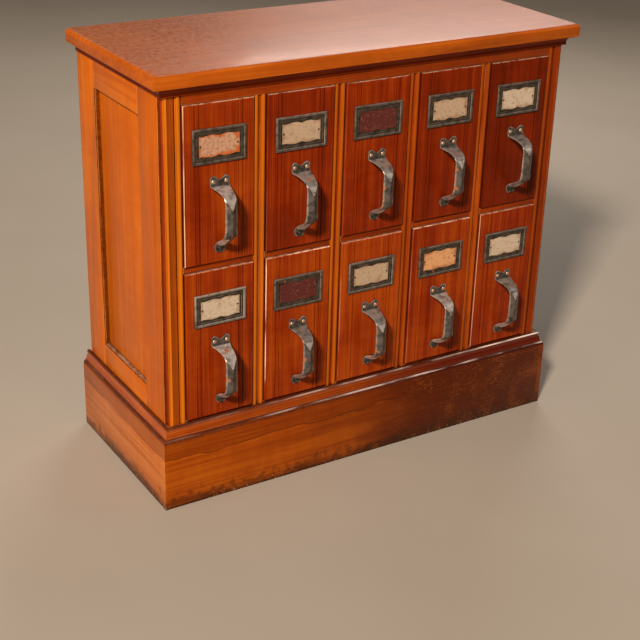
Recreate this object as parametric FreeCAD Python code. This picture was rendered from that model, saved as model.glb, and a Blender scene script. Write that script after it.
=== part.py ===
"""Document cabinet: tall narrow drawers side by side in a panelled case, on a moulded plinth.

X runs along the front from left to right, Y runs from the front to the back and Z is up.
The pieces are laid out with X = 0 in the middle of the case, Y = 0 on the plane of the face
frame and Z = 0 on the floor. save() then moves each one to the final origin, which is the
middle of the footprint on the floor.
"""
import math
import os

import FreeCAD
import Part
from FreeCAD import Vector

# Drawers and their fronts, in millimetres
columns = 5
rows = 2
front_width = 114.0
front_height = 243.5
front_thickness = 18.0
front_proud = 2.0
front_edge_round = 1.2
frame_gap = 1.0
column_gap = 22.0
row_gap = 12.0
front_bead_inset = 18.2
front_bead_width = 6.6
quirk_width = 1.5
quirk_depth = 1.7

# Drawer boxes and what they run on
box_inset = 1.0
box_side = 10.0
box_back = 10.0
box_bottom = 6.0
box_bottom_lift = 5.0
box_top_drop = 21.5
box_back_drop = 12.0
running_gap = 0.3
guide_gap = 0.5
runner_height = 9.0
guide_height = 18.0
stop_thickness = 10.0
stop_width = 40.0
stop_height = 30.0
stop_gap = 0.3

# Case
case_depth = 300.0
stile_width = 32.5
frame_depth = 22.0
rail_setback = 2.0
sill_reveal = 3.0
top_rail_height = 29.0
bottom_board_thickness = 18.0
partition_thickness = 14.0
back_thickness = 8.0
back_setback = 2.0
back_board_count = 5
back_board_gap = 0.4

# Beads of the face frame
corner_inset = 2.5
corner_setback = 11.0
corner_round = 6.5
corner_step = 1.0
stile_quirk_start = 19.5
stile_quirk_width = 2.0
stile_quirk_depth = 3.0
post_quirk_width = 3.4
post_quirk_floor = 2.0
bead_rise = 2.5

# Panelled sides
side_thickness = 20.0
side_front_stile = 67.0
side_back_stile = 63.0
side_bottom_rail = 64.0
side_top_rail = 60.0
panel_recess = 8.0
panel_thickness = 8.0
panel_tongue = 6.0
sticking_chamfer = 2.0

# Plinth and its moulding
plinth_height = 115.0
plinth_thickness = 20.0
plinth_projection = 13.0
plinth_back_projection = 8.0
plinth_edge_round = 2.0
moulding_height = 24.0
moulding_foot = 12.4
nose_height = 6.8
nose_bulge = 1.2
nose_top = 9.0
slope_foot = 8.3
slope_step = 1.0
slope_sag = 0.4
moulding_neck = 4.4
top_bead_height = 4.4
top_bead_out = 5.1
top_bead_bulge = 1.0
top_bead_back = 3.0

# Top
top_thickness = 20.0
top_overhang = 16.0
top_back_overhang = 2.0
top_edge_round = 6.0
cornice_height = 15.0
cornice_projection = 11.0
cornice_fillet = 2.0

# Label holders
label_width = 87.0
label_height = 53.0
label_top_margin = 36.5
label_back = 1.6
label_rim_width = 3.0
label_rim_rise = 1.6
label_bead_inset = 5.2
label_bead_width = 2.4
label_bead_rise = 0.9
label_window_half_width = 33.8
label_window_corner = 14.6
label_window_crown = 17.0
label_window_shoulder = 15.6
label_window_tip = 13.6
label_tip_half_width = 3.4
card_thickness = 0.5
card_margin = 2.5
card_nail_offset = 29.5
card_nail_radius = 1.4
card_nail_rise = 0.7

# Pulls: the foot's lowest point is this far above the front's lower edge
pull_margin = 15.0
pull_gauge = 2.0
plate_half_width = 15.4
plate_height = 16.0
lobe_centre = 10.6
lobe_reach = 4.8
lobe_dip = 6.6
foot_half_width = 8.8
foot_height = 12.5
pull_length = 119.0
grip_projection = 42.5
grip_half_width = 8.8
grip_drop = 7.0
nail_radius = 2.3
nail_top_radius = 1.2
nail_rise = 1.3

# Places worked out from the sizes above
arc_middle = 1 - math.sqrt(0.5)
column_pitch = front_width + column_gap
row_pitch = front_height + row_gap
case_width = columns * front_width + (columns - 1) * column_gap + 2 * stile_width
half_case = case_width / 2
front_back_y = front_thickness - front_proud
moulding_top = plinth_height + moulding_height
sill_top = moulding_top + sill_reveal
first_front_z = sill_top + frame_gap
box_height = front_height - box_top_drop
rail_height = row_gap - 2 * frame_gap
fronts_top = first_front_z + rows * front_height + (rows - 1) * row_gap
case_top = fronts_top + frame_gap + top_rail_height
back_face_y = case_depth - back_setback - back_thickness
drawer_back_y = back_face_y - stop_thickness - stop_gap
floor_top = sill_top - runner_height
stile_inner = half_case - stile_width + frame_gap
post_half_width = column_gap / 2 - frame_gap
plinth_back_y = case_depth + plinth_back_projection
front_most_y = -front_proud - grip_projection
back_most_y = max(plinth_back_y, case_depth + top_back_overhang)
to_origin = Vector(0, -(front_most_y + back_most_y) / 2, 0)


def column_centre(column):
    """X of the middle of a column; columns count from 0 at the left."""
    return (column - (columns - 1) / 2) * column_pitch


def front_bottom(row):
    """Z of a front's lower edge; rows count from 0 at the bottom."""
    return first_front_z + row * row_pitch


def rail_top(row):
    """Z of the upper face of the rail below a row of drawers."""
    return front_bottom(row) - frame_gap


def box(x0, x1, y0, y1, z0, z1):
    return Part.makeBox(x1 - x0, y1 - y0, z1 - z0, Vector(x0, y0, z0))


def outline_face(steps, place):
    """A flat face. A step (a, b) is a straight line to that point, and a step
    ((a, b), (c, d)) is an arc through the first point to the second."""
    start = place(*steps[0])
    here = start
    edges = []
    for step in steps[1:]:
        if isinstance(step[0], tuple):
            via = place(*step[0])
            there = place(*step[1])
            edges.append(Part.Arc(here, via, there).toShape())
        else:
            there = place(*step)
            edges.append(Part.LineSegment(here, there).toShape())
        here = there
    edges.append(Part.LineSegment(here, start).toShape())
    return Part.Face(Part.Wire(edges))


def upright(steps, z0, z1):
    """A prism standing on an outline in plan."""
    return outline_face(steps, lambda x, y: Vector(x, y, z0)).extrude(Vector(0, 0, z1 - z0))


def relief(steps, x, z, y, depth):
    """A prism raised towards the front, by depth, from the plane y, on an outline around (x, z)."""
    face = outline_face(steps, lambda a, b: Vector(x + a, y, z + b))
    return face.extrude(Vector(0, -depth, 0))


def mirrored(shape):
    return shape.mirror(Vector(0, 0, 0), Vector(1, 0, 0))


def save(name, solids):
    shape = Part.makeCompound(solids) if len(solids) > 1 else solids[0].copy()
    shape.translate(to_origin)
    shape.exportStep(os.path.join("parts", name + ".step"))


def mitred_front(section, reach, inner):
    """A length with this (outward, z) section along the front, mitred at both ends."""
    length = 2 * (half_case + reach)
    face = outline_face(section, lambda out, z: Vector(-length / 2, -out, z))
    zone = upright([(-half_case - reach, -reach), (half_case + reach, -reach),
                    (half_case - inner, inner), (-half_case + inner, inner)], 0, 2 * case_top)
    return face.extrude(Vector(length, 0, 0)).common(zone)


def mitred_left(section, reach, inner, back_y):
    """The same along the left side, mitred at the front and square at the back."""
    face = outline_face(section, lambda out, z: Vector(-half_case - out, -reach, z))
    zone = upright([(-half_case - reach, -reach), (-half_case + inner, inner),
                    (-half_case + inner, back_y), (-half_case - reach, back_y)], 0, 2 * case_top)
    return face.extrude(Vector(0, back_y + reach, 0)).common(zone)


def plinth_section():
    out = plinth_projection
    top = plinth_height
    turn = plinth_edge_round
    middle = turn * arc_middle
    return [(out - plinth_thickness, 0), (out, 0), (out, top - turn),
            ((out - middle, top - middle), (out - turn, top)),
            (out - plinth_thickness, top)]


def moulding_section():
    """A round nose at the foot, a slightly hollow slope above it, and a bead at the top."""
    z0 = plinth_height
    nose_z = z0 + nose_height
    slope_z = nose_z + slope_step
    bead_z = moulding_top - top_bead_height
    nose_middle = ((moulding_foot + nose_top) / 2 + nose_bulge, (z0 + nose_z) / 2 + nose_bulge / 2)
    slope_middle = ((slope_foot + moulding_neck) / 2 - slope_sag, (slope_z + bead_z) / 2 - slope_sag)
    bead_middle = ((top_bead_out + top_bead_back) / 2 + top_bead_bulge,
                   (bead_z + moulding_top) / 2 + top_bead_bulge / 2)
    return [(0, z0), (moulding_foot, z0), (nose_middle, (nose_top, nose_z)),
            (slope_foot, nose_z), (slope_foot, slope_z),
            (slope_middle, (moulding_neck, bead_z)), (top_bead_out, bead_z),
            (bead_middle, (top_bead_back, moulding_top)), (0, moulding_top)]


def cornice_section():
    """A cove between two fillets, under the overhang of the top."""
    z0 = case_top - cornice_height
    low = cornice_fillet
    high = cornice_projection - cornice_fillet
    middle = ((low + high) / 2 - low, (z0 + case_top) / 2 + low)
    return [(0, z0), (low, z0), (low, z0 + cornice_fillet),
            (middle, (high, case_top - cornice_fillet)),
            (cornice_projection, case_top - cornice_fillet),
            (cornice_projection, case_top), (0, case_top)]


def make_plinth():
    reach = plinth_projection
    inner = plinth_thickness - plinth_projection
    side = mitred_left(plinth_section(), reach, inner, plinth_back_y)
    save("plinth_front", [mitred_front(plinth_section(), reach, inner)])
    save("plinth_left", [side])
    save("plinth_right", [mirrored(side)])
    save("plinth_back", [box(-half_case + inner, half_case - inner,
                             plinth_back_y - plinth_thickness, plinth_back_y, 0, plinth_height)])


def make_plinth_moulding():
    reach = plinth_projection
    side = mitred_left(moulding_section(), reach, 0, plinth_back_y)
    save("plinth_moulding", [mitred_front(moulding_section(), reach, 0), side, mirrored(side)])


def make_side(outer):
    """Frame members and panel of the left side; outer is the X of its outer face."""
    inner = outer + side_thickness
    y0 = corner_setback
    y1 = y0 + side_front_stile
    y2 = case_depth - side_back_stile
    z0 = plinth_height
    z1 = z0 + side_bottom_rail
    z2 = case_top - side_top_rail
    panel = box(outer + panel_recess, outer + panel_recess + panel_thickness,
                y1 - panel_tongue, y2 + panel_tongue, z1 - panel_tongue, z2 + panel_tongue)
    members = [box(outer, inner, y0, y1, z0, case_top),
               box(outer, inner, y2, case_depth, z0, case_top),
               box(outer, inner, y1, y2, z0, z1),
               box(outer, inner, y1, y2, z2, case_top)]
    chamfer = sticking_frustum(outer, y1, y2, z1, z2)
    return [member.cut(panel).cut(chamfer) for member in members], panel


def sticking_frustum(outer, y1, y2, z1, z2):
    """What the chamfer takes off the frame's edges around the panel."""
    def ring(x, grow):
        corners = [Vector(x, y1 - grow, z1 - grow), Vector(x, y2 + grow, z1 - grow),
                   Vector(x, y2 + grow, z2 + grow), Vector(x, y1 - grow, z2 + grow)]
        return Part.makePolygon(corners + corners[:1])
    return Part.makeLoft([ring(outer, sticking_chamfer), ring(outer + sticking_chamfer, 0)],
                         True, True)


def make_sides():
    members, panel = make_side(-half_case)
    save("side_frame_left", members)
    save("side_panel_left", [panel])
    save("side_frame_right", [mirrored(member) for member in members])
    save("side_panel_right", [mirrored(panel)])


def make_face_stiles():
    """Corner stiles: a rounded corner, a flat, a quirk and a bead beside the drawers.
    Behind the mouldings the corner is left square."""
    outer = -half_case
    inner = -stile_inner
    side_face = outer + side_thickness
    corner = outer + corner_inset
    quirk = outer + stile_quirk_start
    bead = quirk + stile_quirk_width
    turn = corner_round * arc_middle
    section = [(corner, corner_setback), (corner, corner_round),
               ((corner + turn, turn), (corner + corner_round, 0)),
               (corner + corner_round, corner_step), (quirk, corner_step),
               (quirk, stile_quirk_depth), (bead, stile_quirk_depth), (bead, bead_rise),
               (((bead + inner) / 2, 0), (inner, bead_rise)),
               (inner, frame_depth), (side_face, frame_depth), (side_face, corner_setback)]
    square = [(outer, corner_setback), (outer, 0), (inner, 0), (inner, frame_depth),
              (side_face, frame_depth), (side_face, corner_setback)]
    stile = upright(section, moulding_top, case_top - cornice_height)
    foot = upright(square, plinth_height, moulding_top)
    head = upright(square, case_top - cornice_height, case_top)
    stile = stile.fuse([foot, head])
    save("face_stiles", [stile, mirrored(stile)])


def post_section(x):
    """Two beads with a quirk between them."""
    half = post_half_width
    edge = post_quirk_width / 2
    floor = post_quirk_floor / 2
    middle = (half + edge) / 2
    return [(x - half, frame_depth), (x - half, bead_rise),
            ((x - middle, 0), (x - edge, bead_rise)),
            (x - floor, stile_quirk_depth), (x + floor, stile_quirk_depth),
            (x + edge, bead_rise), ((x + middle, 0), (x + half, bead_rise)),
            (x + half, frame_depth)]


def post_centres():
    return [column_centre(column) + column_pitch / 2 for column in range(columns - 1)]


def make_face_frame():
    posts = [upright(post_section(x), plinth_height, fronts_top + frame_gap)
             for x in post_centres()]
    rails = []
    reach = front_width / 2 + frame_gap
    for column in range(columns):
        x = column_centre(column)
        for row in range(rows):
            below = plinth_height if row == 0 else rail_top(row) - rail_height
            rails.append(box(x - reach, x + reach, rail_setback, frame_depth, below, rail_top(row)))
    save("divider_posts", posts)
    save("drawer_rails", rails)
    save("top_rail", [box(-stile_inner, stile_inner, 0, frame_depth,
                          fronts_top + frame_gap, case_top)])


def make_carcass():
    wall = half_case - side_thickness
    half = partition_thickness / 2
    save("bottom_board", [box(-wall, wall, frame_depth, back_face_y,
                              floor_top - bottom_board_thickness, floor_top)])
    save("partitions", [box(x - half, x + half, frame_depth, back_face_y, floor_top, case_top)
                        for x in post_centres()])
    pitch = 2 * wall / back_board_count
    boards = []
    for index in range(back_board_count):
        x0 = -wall + index * pitch
        x1 = x0 + pitch
        if index < back_board_count - 1:
            x1 -= back_board_gap
        boards.append(box(x0, x1, back_face_y, back_face_y + back_thickness,
                          plinth_height, case_top))
    save("back_boards", boards)


def column_walls(column):
    """X of the two faces, left and right, between which a column's drawers run."""
    wall = half_case - side_thickness
    centre = column_centre(column)
    reach = column_pitch / 2 - partition_thickness / 2
    left = -wall if column == 0 else centre - reach
    right = wall if column == columns - 1 else centre + reach
    return left, right


def runner_pair(column, row):
    """A runner under each side of a drawer, with a guide strip above it."""
    top = rail_top(row)
    left, right = column_walls(column)
    centre = column_centre(column)
    outside = front_width / 2 - box_inset
    bearing = outside - box_side
    guide = outside + guide_gap
    y0, y1 = frame_depth, back_face_y
    return [box(left, centre - bearing, y0, y1, top - runner_height, top),
            box(left, centre - guide, y0, y1, top, top + guide_height),
            box(centre + bearing, right, y0, y1, top - runner_height, top),
            box(centre + guide, right, y0, y1, top, top + guide_height)]


def make_drawer_runs():
    runners = []
    stops = []
    for column in range(columns):
        x = column_centre(column)
        for row in range(rows):
            runners.extend(runner_pair(column, row))
            z = rail_top(row) + running_gap + box_bottom_lift
            stops.append(box(x - stop_width / 2, x + stop_width / 2,
                             back_face_y - stop_thickness, back_face_y, z, z + stop_height))
    save("drawer_runners", runners)
    save("drawer_stops", stops)


def make_top():
    x = half_case + top_overhang
    board = box(-x, x, -top_overhang, case_depth + top_back_overhang,
                case_top, case_top + top_thickness)
    shown = [edge for edge in board.Edges
             if edge.CenterOfMass.z > case_top + top_thickness - 0.01
             and edge.CenterOfMass.y < case_depth]
    board = board.makeFillet(top_edge_round, shown)
    save("top_board", [board])
    side = mitred_left(cornice_section(), cornice_projection, 0, case_depth)
    save("top_moulding", [mitred_front(cornice_section(), cornice_projection, 0),
                          side, mirrored(side)])


def drawer_front_shape():
    """A front around X = 0 with its lower edge at Z = 0: rounded edges and, near each side,
    a flush bead between two quirks."""
    half = front_width / 2
    front = box(-half, half, -front_proud, front_back_y, 0, front_height)
    rim = [edge for edge in front.Edges if edge.CenterOfMass.y < -front_proud + 0.01]
    front = front.makeFillet(front_edge_round, rim)
    for side in (-1, 1):
        for inset in (front_bead_inset, front_bead_inset + front_bead_width):
            x = side * (half - inset)
            quirk = [(x - quirk_width / 2, -front_proud), (x, -front_proud + quirk_depth),
                     (x + quirk_width / 2, -front_proud)]
            front = front.cut(upright(quirk, -1, front_height + 1))
    return front


def drawer_box_solids():
    """Two sides, back and bottom around X = 0, with the runners' top at Z = 0."""
    outside = front_width / 2 - box_inset
    inside = outside - box_side
    z0 = running_gap
    bottom_z = z0 + box_bottom_lift
    left = box(-outside, -inside, front_back_y, drawer_back_y, z0, z0 + box_height)
    back = box(-inside, inside, drawer_back_y - box_back, drawer_back_y,
               bottom_z + box_bottom, z0 + box_height - box_back_drop)
    bottom = box(-inside, inside, front_back_y, drawer_back_y, bottom_z, bottom_z + box_bottom)
    return [left, mirrored(left), back, bottom]


def label_window():
    """The holder's opening, whose long edges rise to two crowns with a tip between them."""
    wide = label_window_half_width
    middle = (wide + label_tip_half_width) / 2
    upper = [(-wide, label_window_corner),
             ((-middle, label_window_crown), (-label_tip_half_width, label_window_shoulder)),
             (0, label_window_tip), (label_tip_half_width, label_window_shoulder),
             ((middle, label_window_crown), (wide, label_window_corner))]
    lower = [(wide, -label_window_corner),
             ((middle, -label_window_crown), (label_tip_half_width, -label_window_shoulder)),
             (0, -label_window_tip), (-label_tip_half_width, -label_window_shoulder),
             ((-middle, -label_window_crown), (-wide, -label_window_corner))]
    return upper + lower


def rectangle(half_width, half_height):
    return [(-half_width, -half_height), (half_width, -half_height),
            (half_width, half_height), (-half_width, half_height)]


def raised_ring(inset, width, y, rise):
    """A rectangular bead that follows the holder's outline."""
    x, z = label_width / 2 - inset, label_height / 2 - inset
    whole = relief(rectangle(x, z), 0, 0, y, rise)
    return whole.cut(relief(rectangle(x - width, z - width), 0, 0, y, rise))


def label_holder_solids():
    """Holder, card and the card's two nails, around X = 0, Z = 0 on the front's face."""
    y = -front_proud
    holder = relief(rectangle(label_width / 2, label_height / 2), 0, 0, y, label_back)
    holder = holder.fuse([raised_ring(0, label_rim_width, y - label_back, label_rim_rise),
                          raised_ring(label_bead_inset, label_bead_width, y - label_back,
                                      label_bead_rise)])
    card_shape = rectangle(label_window_half_width + card_margin, label_window_crown + card_margin)
    card = relief(card_shape, 0, 0, y, card_thickness)
    holder = holder.cut(relief(label_window(), 0, 0, y, label_back)).cut(card)
    nails = [Part.makeCylinder(card_nail_radius, card_nail_rise,
                               Vector(side * card_nail_offset, y - card_thickness, 0),
                               Vector(0, -1, 0)) for side in (-1, 1)]
    return [holder, card] + nails


def pull_stations():
    """The strap from the plate's crease, over the neck and down the grip to the foot.
    Each station has how far its ridge stands out, its height, its half width, how far its
    two edges are bent back and how wide its flat middle is to each side."""
    out = grip_projection
    top = pull_length - plate_height
    low = foot_height
    w0, w1 = plate_half_width, grip_half_width
    narrow = (w0 - w1) / 3
    crease = 0.6
    return [(pull_gauge * 0.75, top + 1.0, w0, 0.0, w0 - crease),
            (pull_gauge * 1.2, top - 0.6, w0 - 0.2, 0.0, w0 - crease - 0.2),
            (out * 0.15, top - 2.4, w0 - narrow * 0.5, 0.0, w0 - narrow * 0.5 - crease),
            (out * 0.38, top - 5.4, w0 - narrow * 1.5, 0.0, w0 - narrow * 1.5 - crease),
            (out * 0.60, top - 9.4, w0 - narrow * 2.4, 0.0, w0 - narrow * 2.4 - crease),
            (out * 0.79, top - 15.0, w1 + 0.6, 0.4, w1 - crease),
            (out * 0.92, top - 22.5, w1 + 0.1, grip_drop * 0.35, w1 * 0.62),
            (out * 0.985, top - 31.5, w1, grip_drop * 0.85, crease),
            (out, top - 41.0, w1, grip_drop, crease),
            (out, low + 32.5, w1, grip_drop, crease),
            (out * 0.97, low + 23.5, w1, grip_drop * 0.85, crease),
            (out * 0.88, low + 17.0, w1, grip_drop * 0.5, w1 * 0.5),
            (out * 0.72, low + 15.5, w1, grip_drop * 0.15, w1 - crease),
            (out * 0.48, low + 10.5, w1, 0.0, w1 - crease),
            (out * 0.24, low + 5.5, w1, 0.0, w1 - crease),
            (out * 0.10, low + 2.0, w1, 0.0, w1 - crease),
            (pull_gauge * 0.75, low - 1.5, w1, 0.0, w1 - crease)]


def strap_section(stations, index):
    """The strap's outline across its run at one station."""
    out, z, wide, drop, flat = stations[index]
    before = stations[max(index - 1, 0)]
    after = stations[min(index + 1, len(stations) - 1)]
    run = Vector(0, -(after[0] - before[0]), after[1] - before[1]).normalize()
    outward = Vector(1, 0, 0).cross(run) * -1
    centre = Vector(0, -front_proud - out, z)
    across = [(-wide, -drop), (-flat, 0), (0, 0), (flat, 0), (wide, -drop)]
    outer = [centre + Vector(x, 0, 0) + outward * back for x, back in across]
    inner = [point - outward * pull_gauge for point in reversed(outer)]
    return Part.makePolygon(outer + inner + outer[:1])


def plate_outline():
    """Two rounded lobes with a dip between them; Z = 0 at the foot's lowest point."""
    wide = plate_half_width
    low = pull_length - plate_height
    shoulder = pull_length - lobe_reach
    dip = pull_length - lobe_dip
    inner = 2 * lobe_centre - wide
    return [(-wide, low), (wide, low), (wide, shoulder),
            ((lobe_centre, pull_length), (inner, shoulder)),
            ((0, dip), (-inner, shoulder)),
            ((-lobe_centre, pull_length), (-wide, shoulder))]


def foot_outline():
    wide = foot_half_width
    shoulder = foot_height * 0.55
    return [(-wide, foot_height), (-wide, shoulder), ((0, 0), (wide, shoulder)),
            (wide, foot_height)]


def pull_solids():
    """Pull and its nail heads around X = 0, with the foot's lowest point at Z = 0."""
    y = -front_proud
    stations = pull_stations()
    strap = Part.makeLoft([strap_section(stations, i) for i in range(len(stations))], True, True)
    behind = box(-plate_half_width, plate_half_width, y, y + grip_projection, 0, pull_length)
    strap = strap.cut(behind)
    plate = relief(plate_outline(), 0, 0, y, pull_gauge)
    foot = relief(foot_outline(), 0, 0, y, pull_gauge)
    plate_nail_z = pull_length - lobe_reach * 1.7
    foot_nail_z = foot_height * 0.42
    nails = [Part.makeCone(nail_radius, nail_top_radius, nail_rise,
                           Vector(x, y - pull_gauge, z), Vector(0, -1, 0))
             for x, z in ((-lobe_centre, plate_nail_z), (lobe_centre, plate_nail_z),
                          (0, foot_nail_z))]
    return [plate.fuse([strap, foot])] + nails


def moved(solids, x, z):
    copies = [solid.copy() for solid in solids]
    for copy in copies:
        copy.translate(Vector(x, 0, z))
    return copies


def make_drawers():
    front = drawer_front_shape()
    box_solids = drawer_box_solids()
    holder = label_holder_solids()
    pull = pull_solids()
    label_z = front_height - label_top_margin - label_height / 2
    for row in range(rows):
        for column in range(columns):
            tag = "r%dc%d" % (row + 1, column + 1)
            x = column_centre(column)
            z = front_bottom(row)
            save("drawer_front_" + tag, moved([front], x, z))
            save("drawer_box_" + tag, moved(box_solids, x, rail_top(row)))
            save("label_holder_" + tag, moved(holder, x, z + label_z))
            save("pull_" + tag, moved(pull, x, z + pull_margin))


os.makedirs("parts", exist_ok=True)
make_plinth()
make_plinth_moulding()
make_sides()
make_face_stiles()
make_face_frame()
make_carcass()
make_drawer_runs()
make_top()
make_drawers()
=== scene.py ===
# %% [markdown]
# # A document cabinet with ten tall drawers
# The cabinet is an assembly of boards, label holders and strap pulls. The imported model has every
# board at its real size, so this lesson doesn't invent sizes: it takes each board from the model,
# rounds and wears its edges, and gives it wood with a grain that runs along it. The thin metal
# parts are modelled anew, because bent sheet is a shape of its own.

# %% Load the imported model
import math
import random

import bmesh
import bpy
from mathutils import Matrix, Vector


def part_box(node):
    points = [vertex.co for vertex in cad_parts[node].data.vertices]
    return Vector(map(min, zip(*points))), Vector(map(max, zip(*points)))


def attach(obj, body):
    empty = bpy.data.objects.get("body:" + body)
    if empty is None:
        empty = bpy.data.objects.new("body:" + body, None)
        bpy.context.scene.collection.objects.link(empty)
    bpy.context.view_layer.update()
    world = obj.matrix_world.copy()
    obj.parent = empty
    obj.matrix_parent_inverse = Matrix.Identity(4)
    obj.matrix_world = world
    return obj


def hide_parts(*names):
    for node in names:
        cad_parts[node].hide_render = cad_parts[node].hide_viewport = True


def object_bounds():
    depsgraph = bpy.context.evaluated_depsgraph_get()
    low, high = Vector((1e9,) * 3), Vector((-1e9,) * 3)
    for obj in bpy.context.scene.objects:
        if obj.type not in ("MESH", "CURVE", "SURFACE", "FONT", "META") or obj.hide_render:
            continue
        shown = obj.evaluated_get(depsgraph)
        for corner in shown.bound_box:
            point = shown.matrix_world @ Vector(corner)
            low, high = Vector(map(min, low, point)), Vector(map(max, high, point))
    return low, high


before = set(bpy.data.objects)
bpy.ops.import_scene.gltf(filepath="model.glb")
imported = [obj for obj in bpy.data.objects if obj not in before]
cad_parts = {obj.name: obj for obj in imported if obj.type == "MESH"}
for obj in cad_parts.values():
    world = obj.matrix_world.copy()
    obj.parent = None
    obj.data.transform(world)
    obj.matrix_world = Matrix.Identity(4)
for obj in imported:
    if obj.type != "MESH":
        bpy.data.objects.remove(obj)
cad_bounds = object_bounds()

MM = 0.001
CABINET = "cabinet"
print("boards and fittings in the model:", len(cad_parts))

# %% [markdown]
# The two rows of drawers are named from the bottom, the columns from the left. A tag such as
# r2c1 is the upper row's first drawer, and it ends the name of everything on that drawer.

# %% Drawer tags
ROWS = (1, 2)
COLUMNS = (1, 2, 3, 4, 5)
TAGS = ["r%dc%d" % (row, column) for row in ROWS for column in COLUMNS]
print("drawers:", ", ".join(TAGS))

# %% [markdown]
# ## Camera
# The object is seen from about 32 degrees round to its left and 25 degrees above. The lens and
# the place were worked out from the cabinet's own corners, so the picture has the same
# perspective. A camera could be aimed with a constraint, but a matrix from three directions keeps
# the slight roll as well.

# %% Camera
LENS_MM = 75.9065
SENSOR_MM = 36.0
CAMERA_ROLL = math.radians(1.6712)
camera_place = Vector((-1.12455, -1.77856, 1.17367))
camera_aim = Vector((-0.0910, -0.1294, 0.2604))


def aimed(place, target, roll=0.0):
    """A matrix at place that looks at target, turned by roll about its own line of sight."""
    ahead = (target - place).normalized()
    right = ahead.cross(Vector((0, 0, 1))).normalized()
    up = right.cross(ahead)
    rolled_right = right * math.cos(roll) + up * math.sin(roll)
    rolled_up = up * math.cos(roll) - right * math.sin(roll)
    turn = Matrix((rolled_right, rolled_up, -ahead)).transposed().to_4x4()
    return Matrix.Translation(place) @ turn


camera = bpy.data.objects.new("camera", bpy.data.cameras.new("camera"))
camera.data.lens = LENS_MM
camera.data.sensor_width = SENSOR_MM
camera.matrix_world = aimed(camera_place, camera_aim, CAMERA_ROLL)
bpy.context.scene.collection.objects.link(camera)
bpy.context.scene.camera = camera
print("camera to aim: %.3f m" % (camera_aim - camera_place).length)

# %% [markdown]
# ## Colours and nodes
# Colours are written as they look on a screen, and one function turns them to the linear values
# that a shader works with. A second function adds one node, sets it, links it and gives back the
# output that comes next, so that a material reads from top to bottom.


# %% Colour and node helpers
def paint(code):
    """Linear colour from an sRGB hex code."""
    parts = [int(code[i:i + 2], 16) / 255 for i in (1, 3, 5)]
    linear = [c / 12.92 if c <= 0.04045 else ((c + 0.055) / 1.055) ** 2.4 for c in parts]
    return (*linear, 1.0)


def add(tree, kind, settings=None, inputs=None, output=0):
    """Adds a node, sets its options and inputs, and returns one of its outputs."""
    node = tree.nodes.new("ShaderNode" + kind)
    for key, value in (settings or {}).items():
        setattr(node, key, value)
    for key, value in (inputs or {}).items():
        if isinstance(value, bpy.types.NodeSocket):
            tree.links.new(value, node.inputs[key])
        else:
            node.inputs[key].default_value = value
    return node.outputs[output] if node.outputs else node


def new_material(name):
    material = bpy.data.materials.new(name)
    material.use_nodes = True
    material.node_tree.nodes.clear()
    return material, material.node_tree


# %% [markdown]
# ## Studio
# A pale painted floor and an even grey surround. Light Path tells the camera's rays from the
# others, so the background is pale while the object gets only a weak grey light from it.

# %% Floor and surround
material, tree = new_material("painted_concrete_floor")
spot = add(tree, "TexCoord", output="Object")
cloud = add(tree, "TexNoise", None, {"Vector": spot, "Scale": 2.2, "Detail": 3.0})
floor_colour = add(tree, "Mix", {"data_type": "RGBA"},
                   {0: cloud, 6: paint("#A09283"), 7: paint("#AEA192")}, 2)
shader = add(tree, "BsdfPrincipled", None, {"Base Color": floor_colour, "Roughness": 0.75})
add(tree, "OutputMaterial", None, {"Surface": shader})

FLOOR_HALF = 12.0
floor_mesh = bpy.data.meshes.new("floor")
bm = bmesh.new()
bmesh.ops.create_grid(bm, x_segments=1, y_segments=1, size=FLOOR_HALF)
bm.to_mesh(floor_mesh)
bm.free()
floor_mesh.materials.append(material)
floor = bpy.data.objects.new("floor", floor_mesh)
bpy.context.scene.collection.objects.link(floor)

world = bpy.data.worlds.new("surround")
world.use_nodes = True
world.node_tree.nodes.clear()
seen = add(world.node_tree, "LightPath", output="Is Camera Ray")
level = add(world.node_tree, "MapRange", None, {0: seen, 3: 0.04, 4: 0.30})
surround = add(world.node_tree, "Background", None, {"Color": paint("#E4E0DB"), "Strength": level})
add(world.node_tree, "OutputWorld", None, {"Surface": surround})
bpy.context.scene.world = world
print("floor: %.0f m wide" % (2 * FLOOR_HALF))


# %% [markdown]
# Four softboxes. The main one is high and far to the left and in front, because the left side is
# the brightest face and the pulls throw clear shadows to the right. A wide one on the left fills
# the side, a narrow one on the right is what the varnished mouldings mirror, and one behind
# lights the back and the right side.


# %% Softboxes
def softbox(name, place, aim, width, height, watts, colour):
    lamp = bpy.data.lights.new(name, "AREA")
    lamp.shape = "RECTANGLE"
    lamp.size = width
    lamp.size_y = height
    lamp.energy = watts
    lamp.color = paint(colour)[:3]
    holder = bpy.data.objects.new(name, lamp)
    holder.matrix_world = aimed(Vector(place), Vector(aim))
    bpy.context.scene.collection.objects.link(holder)


MIDDLE = (0.0, -0.05, 0.3)
softbox("key", (-4.5, -4.1, 4.8), MIDDLE, 0.75, 0.75, 760, "#FFF4E6")
softbox("left_fill", (-2.3, 0.1, 1.0), MIDDLE, 1.6, 1.4, 11, "#FFF6EC")
softbox("right_glint", (1.4, -0.9, 1.5), (0.25, -0.14, 0.13), 0.4, 0.15, 1.6, "#FFFAF4")
softbox("back_rim", (1.6, 1.9, 1.8), MIDDLE, 1.4, 0.8, 30, "#FFFAF4")
print("lamps:", ", ".join(lamp.name for lamp in bpy.data.lights))

# %% [markdown]
# The view transform is Standard, so a colour renders as it is written.

# %% View
bpy.context.scene.view_settings.view_transform = "Standard"
print("view:", bpy.context.scene.view_settings.view_transform)

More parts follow.
